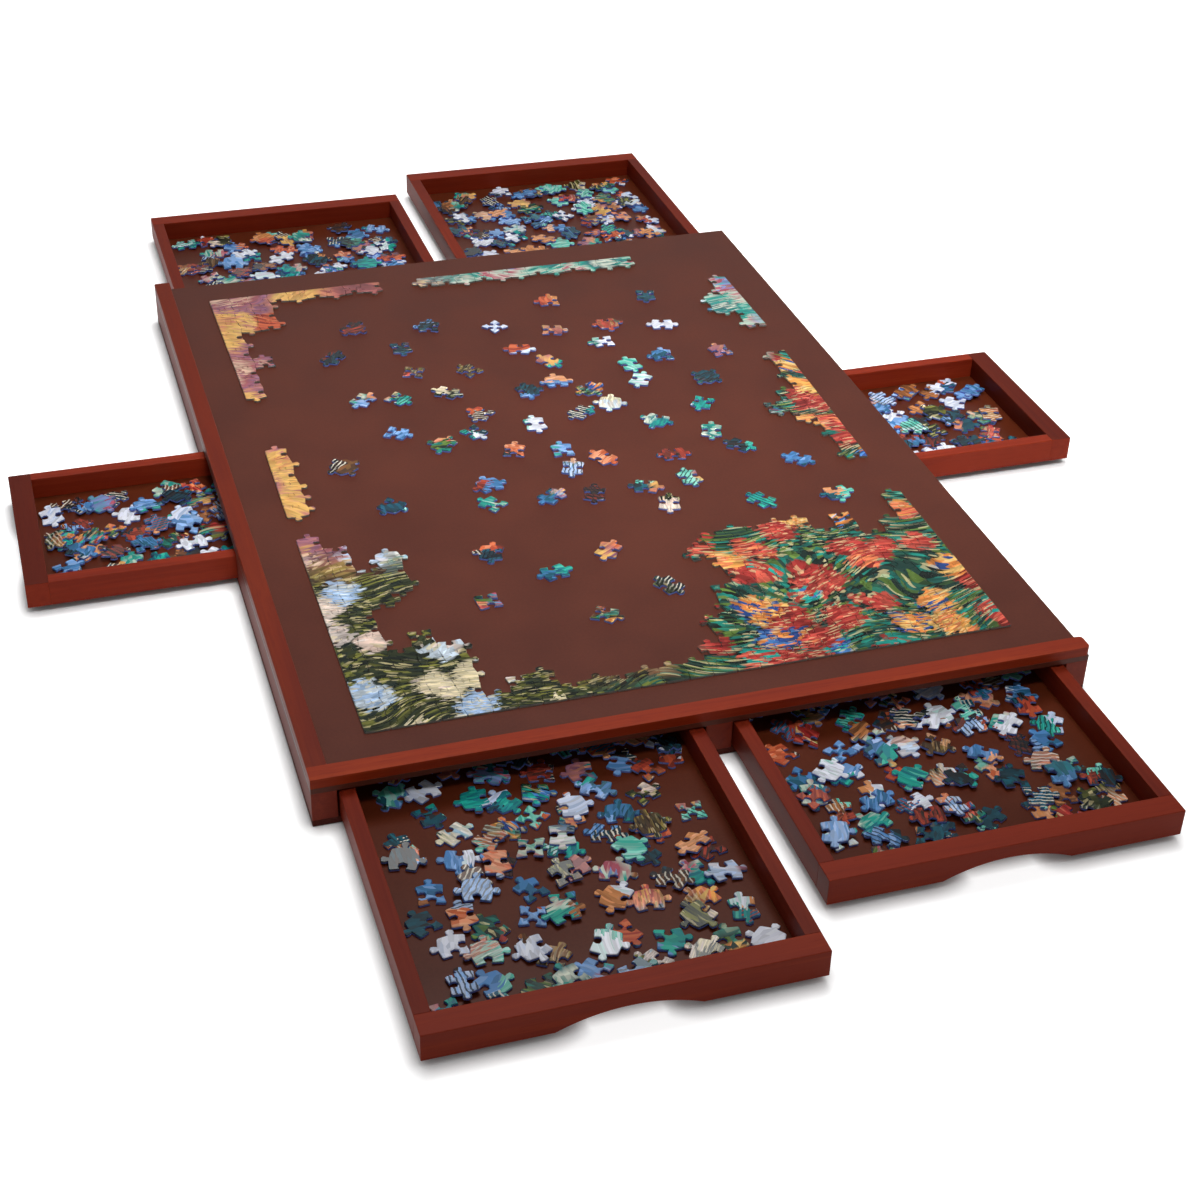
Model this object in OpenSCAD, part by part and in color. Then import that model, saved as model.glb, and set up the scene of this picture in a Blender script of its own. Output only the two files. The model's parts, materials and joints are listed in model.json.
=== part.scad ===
// Jigsaw puzzle board: a flat wooden tray table with six drawers under its work surface.
// A base board and a top panel hold a grid of rails between them, and the rails form six bays.
// Two drawers open to the front, two to the back and one to each side.
// Rim strips stand on the front and left edges of the panel, and the other two edges stay open.
// The origin is the centre of the base board's underside, +Z is up and the front faces -Y.
// All sizes are in millimetres.

/* [Board] */
// Width of the board, left to right
board_w = 584; // [480:1:760]
// Length of the board, front to back
board_l = 787; // [640:1:960]
// Thickness of the base board that the drawers slide on
base_t = 5; // [3:0.5:9]
// Thickness of the top panel that the puzzle is laid on
top_t = 5; // [3:0.5:9]

/* [Rim] */
// Height of the rim strips above the panel
rim_h = 7; // [4:0.5:14]
// Width of the front rim strip
front_rim_w = 14.5; // [8:0.5:30]
// Width of the left rim strip
left_rim_w = 14.5; // [8:0.5:30]
// Radius of the front rim's corners at its free end
rim_corner_r = 3; // [1:0.5:3.5]
// Depth of the rebate in the panel that the rim strips stand in
rim_seat = 0.5; // [0.3:0.1:1.5]
// Gap between a rim strip and the wall of its rebate
rim_gap = 0.2; // [0.1:0.05:0.4]

/* [Frame] */
// Height of the rails, which is the height of the bays
rail_h = 23; // [18:0.5:40]
// Thickness of the side rails, whose ends show as the corner posts
rail_t = 18; // [15:0.5:30]
// Thickness of the middle dividers and of the spine in line with them
divider_t = 20; // [14:0.5:30]
// Thickness of the cross rails behind the front and back drawers
cross_t = 18; // [14:0.5:30]

/* [Drawers] */
// Width of the two side drawers
side_drawer_w = 170; // [130:1:240]
// Thickness of the drawer fronts
front_t = 18; // [14:0.5:26]
// Thickness of the drawer sides and backs
wall_t = 11; // [9:0.5:16]
// Thickness of the drawer floors
floor_t = 3; // [2:0.5:5]
// Width of the rebate that the floor's edges lie in
floor_lap = 5; // [3:0.5:7]
// Gap between a drawer's side and its bay
side_gap = 1.5; // [0.5:0.1:3]
// Gap between a drawer's underside and the base board
seat_gap = 0.3; // [0.2:0.1:0.6]
// Gap between a drawer's top and the top panel
head_gap = 1.7; // [1:0.1:3]
// Gap between a shut drawer's back and the rail behind it
back_gap = 3; // [2:0.5:8]

/* [Finger notch] */
// Width of the arched notch at the drawer's lower edge
notch_w = 95; // [60:1:120]
// Height of the notch at its middle
notch_h = 10; // [6:0.5:13]
// Thickness of wood left between the notch and the drawer's inside
notch_web = 3; // [2:0.5:6]

/* [Length of each drawer still inside the board] */
// Front left drawer
front_left_in = 53; // [30:1:200]
// Front right drawer
front_right_in = 113; // [30:1:200]
// Back left drawer
back_left_in = 97; // [30:1:200]
// Back right drawer
back_right_in = 47; // [30:1:200]
// Left drawer
left_in = 117; // [30:1:200]
// Right drawer
right_in = 128; // [30:1:200]

/* [Dowels] */
// Diameter of the drawer dowels
dowel_d = 6; // [4:0.5:7]
// Length of the drawer dowels
dowel_l = 24; // [18:1:30]
// Depth of a drawer dowel in the face that it enters
dowel_seat = 7; // [5:0.5:8]
// Diameter of the frame dowels
frame_dowel_d = 8; // [6:0.5:10]
// Length of a frame dowel inside the end of a rail
frame_dowel_end = 20; // [14:1:28]
// Depth of a frame dowel in the side of a side rail
frame_dowel_seat = 12; // [8:0.5:13]
// Gap round every dowel for the glue
glue_gap = 0.1; // [0.05:0.05:0.2]

/* [Screws] */
// Diameter of the screws that hold the base board
screw_d = 3.5; // [3:0.5:5]
// Diameter of the countersunk heads
head_d = 7; // [6:0.5:8]
// Length of a screw from head to tip
screw_l = 16; // [12:1:20]
// Depth of a head below the base board's underside
head_recess = 0.5; // [0.2:0.1:0.8]
// Distance from the end of a rail to its nearest screw
screw_inset = 45; // [38:1:60]
// Gap round every screw
screw_gap = 0.1; // [0.05:0.05:0.2]

/* [Hidden] */
$fn = 64;
// A cut runs this far past the surface that it opens
over = 1;

half_w = board_w / 2;
half_l = board_l / 2;
top_z = base_t + rail_h;
panel_z = top_z + top_t;
rim_z = panel_z - rim_seat;

side_bay_w = side_drawer_w + 2 * side_gap;
side_bay_l = half_w - divider_t / 2;
end_bay_w = half_w - rail_t - divider_t / 2;
end_bay_l = half_l - side_bay_w / 2 - cross_t;
end_bay_x = divider_t / 2 + end_bay_w / 2;
rail_l = half_l - side_bay_w / 2;
cross_l = board_w - 2 * rail_t;
cross_y = side_bay_w / 2 + cross_t / 2;

drawer_z = base_t + seat_gap;
drawer_h = rail_h - seat_gap - head_gap;
end_drawer_w = end_bay_w - 2 * side_gap;
end_drawer_l = end_bay_l - back_gap;
side_drawer_l = side_bay_l - back_gap;
dowel_z = (floor_t + drawer_h) / 2;
notch_r = (notch_w * notch_w / 4 + notch_h * notch_h) / (2 * notch_h);

frame_dowel_z = base_t + rail_h / 2;
// Straight edge of a screw head, below its cone
head_edge = 0.3;
head_cone = (head_d - screw_d) / 2;

mahogany = [0.48, 0.17, 0.11];
stained_frame = [0.34, 0.14, 0.11];
dark_board = [0.33, 0.18, 0.15];
beech = [0.76, 0.60, 0.42];
zinc = [0.70, 0.71, 0.73];

// Each drawer: name, width, length, length left inside, middle of its bay's mouth, turn about Z
DRAWERS = [
    ["front_left_drawer", end_drawer_w, end_drawer_l, front_left_in, [-end_bay_x, -half_l], 0],
    ["front_right_drawer", end_drawer_w, end_drawer_l, front_right_in, [end_bay_x, -half_l], 0],
    ["back_left_drawer", end_drawer_w, end_drawer_l, back_left_in, [-end_bay_x, half_l], 180],
    ["back_right_drawer", end_drawer_w, end_drawer_l, back_right_in, [end_bay_x, half_l], 180],
    ["left_drawer", side_drawer_w, side_drawer_l, left_in, [-half_w, 0], -90],
    ["right_drawer", side_drawer_w, side_drawer_l, right_in, [half_w, 0], 90],
];

// What the entries of a drawer's row are
function name_of(d) = d[0];
function width_of(d) = d[1];
function length_of(d) = d[2];
function drawn_out(d) = d[2] - d[3];
function mouth_of(d) = d[4];
function turn_of(d) = d[5];

// Middle points and lengths of the rails that the base board is screwed to, along Y and along X
RAILS_ALONG_Y = [
    for (x = [-1, 1], y = [-1, 1]) [[x * (half_w - rail_t / 2), y * (half_l - rail_l / 2)], rail_l],
    for (y = [-1, 1]) [[0, y * (half_l - end_bay_l / 2)], end_bay_l],
    [[0, 0], side_bay_w],
];
RAILS_ALONG_X = [for (y = [-1, 1]) [[0, y * cross_y], cross_l]];
SCREWS = [
    for (r = RAILS_ALONG_Y, s = [-1, 1]) r[0] + [0, s * (r[1] / 2 - screw_inset)],
    for (r = RAILS_ALONG_X, s = [-1, 1]) r[0] + [s * (r[1] / 2 - screw_inset), 0],
];

// A block centred on X and Y that stands on z
module block(size, z) {
    translate([-size.x / 2, -size.y / 2, z])
        cube(size);
}

// A rod along Y from y = 0, made wider and longer by the gap
module rod(d, l, gap = 0) {
    translate([0, -gap, 0])
        rotate([-90, 0, 0])
            cylinder(d = d + 2 * gap, h = l + 2 * gap);
}

// Screws of the base board, or the holes that they go in when there is a gap
module screws(gap = 0) {
    for (p = SCREWS)
        translate([p.x, p.y, head_recess]) {
            mouth = gap > 0 ? head_recess + over : 0;
            translate([0, 0, -mouth])
                cylinder(d = head_d + 2 * gap, h = mouth + head_edge);
            translate([0, 0, head_edge])
                cylinder(d1 = head_d + 2 * gap, d2 = screw_d + 2 * gap, h = head_cone);
            cylinder(d = screw_d + 2 * gap, h = screw_l + gap);
        }
}

// Dowels of the frame, or their holes
module dowels_of_frame(gap = 0) {
    for (y = [-1, 1]) {
        for (x = [-1, 1])
            translate([x * (cross_l / 2 + frame_dowel_seat), y * cross_y, frame_dowel_z])
                rotate([0, 0, x * 90])
                    rod(frame_dowel_d, frame_dowel_seat + frame_dowel_end, gap);
        translate([0, y * cross_y - cross_t / 2 - frame_dowel_end, frame_dowel_z])
            rod(frame_dowel_d, cross_t + 2 * frame_dowel_end, gap);
    }
}

// A rail of the frame with its dowel and screw holes
module rail(size, middle) {
    color(stained_frame)
        difference() {
            translate(middle)
                block(size, base_t);
            dowels_of_frame(glue_gap);
            screws(screw_gap);
        }
}

module side_rail(x, y) {
    rail([rail_t, rail_l, rail_h], [x * (half_w - rail_t / 2), y * (half_l - rail_l / 2)]);
}

module divider(y) {
    rail([divider_t, end_bay_l, rail_h], [0, y * (half_l - end_bay_l / 2)]);
}

module cross_rail(y) {
    rail([cross_l, cross_t, rail_h], [0, y * cross_y]);
}

module base_board() {
    color(dark_board)
        difference() {
            block([board_w, board_l, base_t], 0);
            screws(screw_gap);
        }
}

module top_panel() {
    color(dark_board)
        difference() {
            block([board_w, board_l, top_t], top_z);
            translate([-half_w - over, -half_l - over, rim_z]) {
                cube([board_w + 2 * over, front_rim_w + rim_gap + over, rim_seat + over]);
                cube([left_rim_w + rim_gap + over, board_l + 2 * over, rim_seat + over]);
            }
        }
}

// The strip is square at the left corner and rounded at the free right end
module front_rim() {
    color(mahogany)
        translate([-half_w, -half_l, rim_z])
            linear_extrude(rim_seat + rim_h) {
                square([board_w - rim_corner_r, front_rim_w]);
                translate([0, rim_corner_r])
                    square([board_w, front_rim_w - 2 * rim_corner_r]);
                for (y = [rim_corner_r, front_rim_w - rim_corner_r])
                    translate([board_w - rim_corner_r, y])
                        circle(r = rim_corner_r);
            }
}

module left_rim() {
    color(mahogany)
        translate([-half_w, -half_l + front_rim_w, rim_z])
            cube([left_rim_w, board_l - front_rim_w, rim_seat + rim_h]);
}

module frame_dowels() {
    color(beech)
        dowels_of_frame();
}

module base_screws() {
    color(zinc)
        screws();
}

// Puts a drawer piece where the drawer stands: in its own frame the front face is at y = 0,
// the drawer runs back along +Y and its underside is at z = 0
module at_drawer(d) {
    translate([mouth_of(d).x, mouth_of(d).y, drawer_z])
        rotate([0, 0, turn_of(d)])
            translate([0, -drawn_out(d), 0])
                children();
}

// The four dowels of a drawer, or their holes
module dowels_of_drawer(d, gap = 0) {
    joint_x = width_of(d) / 2 - wall_t;
    for (x = [-1, 1]) {
        translate([x * (joint_x + wall_t / 2), front_t - dowel_seat, dowel_z])
            rod(dowel_d, dowel_l, gap);
        translate([x * (joint_x + dowel_seat), length_of(d) - wall_t / 2, dowel_z])
            rotate([0, 0, x * 90])
                rod(dowel_d, dowel_l, gap);
    }
}

// The space that the floor takes, grown by the overlap of the cut where it is cut out of a wall
module floor_space(d, cut = 0) {
    space_w = width_of(d) - 2 * (wall_t - floor_lap);
    space_l = length_of(d) - front_t - wall_t + floor_lap;
    translate([-space_w / 2, front_t - cut, -cut])
        cube([space_w, space_l + cut, floor_t + cut]);
}

module drawer_front(d) {
    color(mahogany)
        at_drawer(d)
            difference() {
                translate([-width_of(d) / 2, 0, 0])
                    cube([width_of(d), front_t, drawer_h]);
                translate([0, -over, notch_h - notch_r])
                    rod(2 * notch_r, front_t - notch_web + over);
                dowels_of_drawer(d, glue_gap);
            }
}

module drawer_side(d, side) {
    color(mahogany)
        at_drawer(d)
            difference() {
                translate([side * (width_of(d) - wall_t) / 2 - wall_t / 2, front_t, 0])
                    cube([wall_t, length_of(d) - front_t, drawer_h]);
                floor_space(d, over);
                dowels_of_drawer(d, glue_gap);
            }
}

module drawer_back(d) {
    color(mahogany)
        at_drawer(d)
            difference() {
                translate([-width_of(d) / 2 + wall_t, length_of(d) - wall_t, 0])
                    cube([width_of(d) - 2 * wall_t, wall_t, drawer_h]);
                floor_space(d, over);
                dowels_of_drawer(d, glue_gap);
            }
}

module drawer_floor(d) {
    color(dark_board)
        at_drawer(d)
            floor_space(d);
}

module drawer_dowels(d) {
    color(beech)
        at_drawer(d)
            dowels_of_drawer(d);
}

base_board();
top_panel();
front_rim();
left_rim();
side_rail(-1, -1);  // left_front_rail
side_rail(-1, 1);  // left_back_rail
side_rail(1, -1);  // right_front_rail
side_rail(1, 1);  // right_back_rail
divider(-1);  // front_divider
divider(1);  // back_divider
cross_rail(-1);  // front_cross_rail
cross_rail(1);  // back_cross_rail
rail([divider_t, side_bay_w, rail_h], [0, 0]);  // spine
frame_dowels();
base_screws();
for (d = DRAWERS) {
    drawer_front(d);
    drawer_side(d, -1);
    drawer_side(d, 1);
    drawer_back(d);
    drawer_floor(d);
    drawer_dowels(d);
}
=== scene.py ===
"""Jigsaw puzzle board with six drawers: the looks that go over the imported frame."""

import json
import logging
import math
import random
from dataclasses import dataclass, field
from enum import Enum

import bmesh
import bpy
import numpy as np
from mathutils import Matrix, Vector

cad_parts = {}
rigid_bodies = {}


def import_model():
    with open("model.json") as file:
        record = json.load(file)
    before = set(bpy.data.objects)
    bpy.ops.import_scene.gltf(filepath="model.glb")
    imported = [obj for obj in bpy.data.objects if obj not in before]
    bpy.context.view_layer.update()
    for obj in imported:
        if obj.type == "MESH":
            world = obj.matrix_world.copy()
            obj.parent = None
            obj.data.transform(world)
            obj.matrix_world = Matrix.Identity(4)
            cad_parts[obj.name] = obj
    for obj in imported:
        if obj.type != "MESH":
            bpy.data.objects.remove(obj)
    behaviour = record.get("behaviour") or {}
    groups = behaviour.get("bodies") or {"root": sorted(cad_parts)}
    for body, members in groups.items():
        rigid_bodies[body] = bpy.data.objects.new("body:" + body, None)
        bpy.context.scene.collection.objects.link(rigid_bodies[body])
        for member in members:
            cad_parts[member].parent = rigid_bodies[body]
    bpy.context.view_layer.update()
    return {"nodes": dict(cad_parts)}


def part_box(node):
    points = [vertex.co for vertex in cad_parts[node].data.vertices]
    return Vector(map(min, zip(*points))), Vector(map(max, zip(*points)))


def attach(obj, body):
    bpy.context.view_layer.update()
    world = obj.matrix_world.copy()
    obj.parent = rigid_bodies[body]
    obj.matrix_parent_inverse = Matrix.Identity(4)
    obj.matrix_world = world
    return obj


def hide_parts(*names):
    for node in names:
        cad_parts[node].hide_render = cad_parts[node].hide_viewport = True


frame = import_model()

LOG = logging.getLogger("puzzle_board")
MM = 0.001
PUZZLE_COLUMNS, PUZZLE_ROWS, PITCH_MM = 27, 38, 18.4
Point = tuple[float, float, float]
Span = tuple[float, float]
Tree, Node, Socket = bpy.types.NodeTree, bpy.types.Node, bpy.types.NodeSocket
Material, Outputs = bpy.types.Material, bpy.types.NodeOutputs
# A wave texture of scale 1 repeats every 2 pi / 20.
WAVE_SCALE = 2 * math.pi / 20
BLEND = {"data_type": "RGBA"}
TINT = {"data_type": "RGBA", "blend_type": "MULTIPLY", 0: 1.0}


def linear(code: str) -> tuple[float, float, float, float]:
    """Turn an sRGB hex colour into linear light.

    Args:
        code: a colour such as "#6e2517".

    Returns:
        Linear red, green and blue, and an alpha of 1.
    """
    parts = [int(code[i:i + 2], 16) / 255 for i in (1, 3, 5)]
    red, green, blue = [c / 12.92 if c <= 0.04045 else ((c + 0.055) / 1.055) ** 2.4 for c in parts]
    return red, green, blue, 1.0


def add_node(tree: Tree, kind: str, sets: dict | None = None,
             links: dict | None = None) -> Node:
    """Add a node with its settings and links.

    Args:
        tree: the tree that gets the node.
        kind: the node's type name.
        sets: properties by name, inputs by socket name or number, and "stops" for a ramp, which
            holds its interpolation and its (place, hex colour) pairs.
        links: the output that feeds each input, by socket name or number.

    Returns:
        The new node.
    """
    node = tree.nodes.new(kind)
    for key, value in (sets or {}).items():
        if key == "stops":
            node.color_ramp.interpolation, stops = value
            for place, _ in stops[1:-1]:
                node.color_ramp.elements.new(place)
            for element, (place, code) in zip(node.color_ramp.elements, stops):
                element.position = place
                element.color = linear(code)
        elif isinstance(key, str) and hasattr(node, key):
            setattr(node, key, value)
        else:
            node.inputs[key].default_value = value
    for key, source in (links or {}).items():
        tree.links.new(source, node.inputs[key])
    return node


def new_material(name: str) -> tuple[Material, Tree]:
    """Make an empty node material.

    Args:
        name: the material's name.

    Returns:
        The material and its node tree.
    """
    material = bpy.data.materials.new(name)
    material.use_nodes = True
    material.node_tree.nodes.clear()
    return material, material.node_tree


def per_metre(*sizes_mm: float) -> Point:
    """Give the texture scale, for each axis, at which one feature is as long as its size in mm."""
    return tuple(1 / (size * MM) for size in sizes_mm)


def ramp(source: Span, target: Span = (0.0, 1.0), unit: float = 1.0) -> dict[str, float]:
    """Give the settings of a Map Range node.

    Args:
        source: the values at which the change starts and ends.
        target: the results there.
        unit: the source's unit in metres, where it is a length.

    Returns:
        The settings by socket name.
    """
    first, last = [value * unit for value in source]
    return {"From Min": first, "From Max": last, "To Min": target[0], "To Max": target[1]}


def even_stops(codes: tuple[str, ...], blend: str = "LINEAR") -> tuple[str, tuple]:
    """Spread a palette evenly over a colour ramp. Returns: the interpolation and the stops."""
    first = 0.5 if blend == "LINEAR" else 0.0
    return blend, tuple(((i + first) / len(codes), code) for i, code in enumerate(codes))


@dataclass(frozen=True)
class StainedWood:
    """Close-grained hardwood, planed, stained mahogany red and lacquered satin.

    To the eye: long soft streaks with fine pores along the grain, a tone of its own on each plank,
    darker end grain, which drinks the stain, a painted shade on faces by the way they run, and a
    painted highlight along the arrises.
    """

    name: str
    deep: str
    middle: str
    light: str
    roughness: float = 0.5
    lacquer_index: float = 1.27
    streak_mm: float = 7.0
    streak_length_mm: float = 260.0
    cloud_mm: float = 70.0
    cloud_length_mm: float = 140.0
    cloud_share: float = 0.45
    tone_stops: Point = (0.50, 0.72, 0.96)
    pore_mm: float = 1.3
    pore_length_mm: float = 16.0
    pore_edge: Span = (0.36, 0.44)
    pore_stain: float = 0.45
    pore_relief: float = 0.10
    pore_depth_mm: float = 0.1
    gloss_spread: Span = (-0.05, 0.07)

    def build(self) -> Material:
        """Make the material. Returns: the material, which reads the piece's grain attributes."""
        material, tree = new_material(self.name)
        grain, end, arris, plank = [
            add_node(tree, "ShaderNodeAttribute", {"attribute_name": name}).outputs
            for name in ("grain", "end_grain", "arris", "plank_tone")]
        patterns = (
            (self.streak_length_mm, self.streak_mm,
             {"Detail": 5.0, "Roughness": 0.6, "Distortion": 0.4}),
            (self.cloud_length_mm, self.cloud_mm, {"Detail": 3.0}),
            (self.pore_length_mm, self.pore_mm, {"Detail": 2.0}))
        noises = []
        for length, width, sets in patterns:
            way = add_node(tree, "ShaderNodeMapping", {"Scale": per_metre(length, width, width)},
                           {"Vector": grain["Vector"]})
            noise = add_node(tree, "ShaderNodeTexNoise", {"Scale": 1.0, **sets},
                             {"Vector": way.outputs["Vector"]})
            noises.append(noise.outputs["Fac"])
        streaks, clouds, pores = noises
        mixed = add_node(tree, "ShaderNodeMath", {"operation": "MULTIPLY_ADD", 1: self.cloud_share},
                         {0: clouds, 2: streaks})
        stops = tuple(zip(self.tone_stops, (self.deep, self.middle, self.light)))
        tone = add_node(tree, "ShaderNodeValToRGB", {"stops": ("EASE", stops)},
                        {"Fac": mixed.outputs["Value"]})
        open_pores = add_node(tree, "ShaderNodeMapRange",
                              ramp(self.pore_edge, (self.pore_stain, 0.0)), {"Value": pores})
        pored = add_node(tree, "ShaderNodeMix", {**BLEND, 7: linear(self.deep)},
                         {0: open_pores.outputs["Result"], 6: tone.outputs["Color"]})
        soaked = add_node(tree, "ShaderNodeMix", {**BLEND, 7: linear(self.deep)},
                          {0: end["Fac"], 6: pored.outputs[2]})
        # Painted highlight: the bevelled arrises are mixed towards the light colour.
        painted_arris_highlight = add_node(tree, "ShaderNodeMix", {**BLEND, 7: linear(self.light)},
                          {0: arris["Fac"], 6: soaked.outputs[2]})
        # The plank's own random tone and the painted shade by face direction multiply the colour.
        toned_and_shaded = add_node(tree, "ShaderNodeMix", TINT, {6: painted_arris_highlight.outputs[2], 7: plank["Fac"]})
        spread = tuple(self.roughness + more for more in self.gloss_spread)
        gloss = add_node(tree, "ShaderNodeMapRange", ramp((0.0, 1.0), spread), {"Value": streaks})
        relief = add_node(tree, "ShaderNodeBump", {
            "Strength": self.pore_relief, "Distance": self.pore_depth_mm * MM}, {"Height": pores})
        shader = add_node(tree, "ShaderNodeBsdfPrincipled", {"IOR": self.lacquer_index}, {
            "Base Color": toned_and_shaded.outputs[2], "Roughness": gloss.outputs["Result"],
            "Normal": relief.outputs["Normal"]})
        add_node(tree, "ShaderNodeOutputMaterial", links={"Surface": shader.outputs["BSDF"]})
        return material


@dataclass(frozen=True)
class LacqueredHardboard:
    """Pressed hardboard, stained dark brown and sprayed with a satin lacquer.

    To the eye: an even brown with a faint cloudy mottle, fibre flecks and the orange peel that
    spraying leaves.
    """

    name: str
    dark: str
    light: str
    roughness: float = 0.42
    lacquer_index: float = 1.27
    mottle_mm: float = 55.0
    fleck_mm: float = 2.2
    fleck_share: float = 0.5
    tone_stops: Span = (0.55, 0.95)
    gloss_spread: Span = (-0.04, 0.06)
    peel_mm: float = 1.6
    peel_relief: float = 0.08
    peel_depth_mm: float = 0.1

    def build(self) -> Material:
        """Make the material. Returns: the material, on the object's own coordinates."""
        material, tree = new_material(self.name)
        place = add_node(tree, "ShaderNodeTexCoord")
        mottle, flecks, peel = [
            add_node(tree, "ShaderNodeTexNoise", {"Scale": per_metre(size)[0], "Detail": detail},
                     {"Vector": place.outputs["Object"]}).outputs["Fac"]
            for size, detail in ((self.mottle_mm, 4.0), (self.fleck_mm, 2.0), (self.peel_mm, 2.0))]
        mixed = add_node(tree, "ShaderNodeMath", {"operation": "MULTIPLY_ADD", 1: self.fleck_share},
                         {0: flecks, 2: mottle})
        stops = tuple(zip(self.tone_stops, (self.dark, self.light)))
        tone = add_node(tree, "ShaderNodeValToRGB", {"stops": ("LINEAR", stops)},
                        {"Fac": mixed.outputs["Value"]})
        spread = tuple(self.roughness + more for more in self.gloss_spread)
        gloss = add_node(tree, "ShaderNodeMapRange", ramp((0.0, 1.0), spread), {"Value": mottle})
        relief = add_node(tree, "ShaderNodeBump", {
            "Strength": self.peel_relief, "Distance": self.peel_depth_mm * MM}, {"Height": peel})
        shader = add_node(tree, "ShaderNodeBsdfPrincipled", {"IOR": self.lacquer_index}, {
            "Base Color": tone.outputs["Color"], "Roughness": gloss.outputs["Result"],
            "Normal": relief.outputs["Normal"]})
        add_node(tree, "ShaderNodeOutputMaterial", links={"Surface": shader.outputs["BSDF"]})
        return material


@dataclass(frozen=True)
class Brush:
    """A brush: the size of its dabs, their turn from the sweep and how evenly it is loaded."""

    width_mm: float
    length_mm: float
    turn_degrees: float
    load: Span


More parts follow.
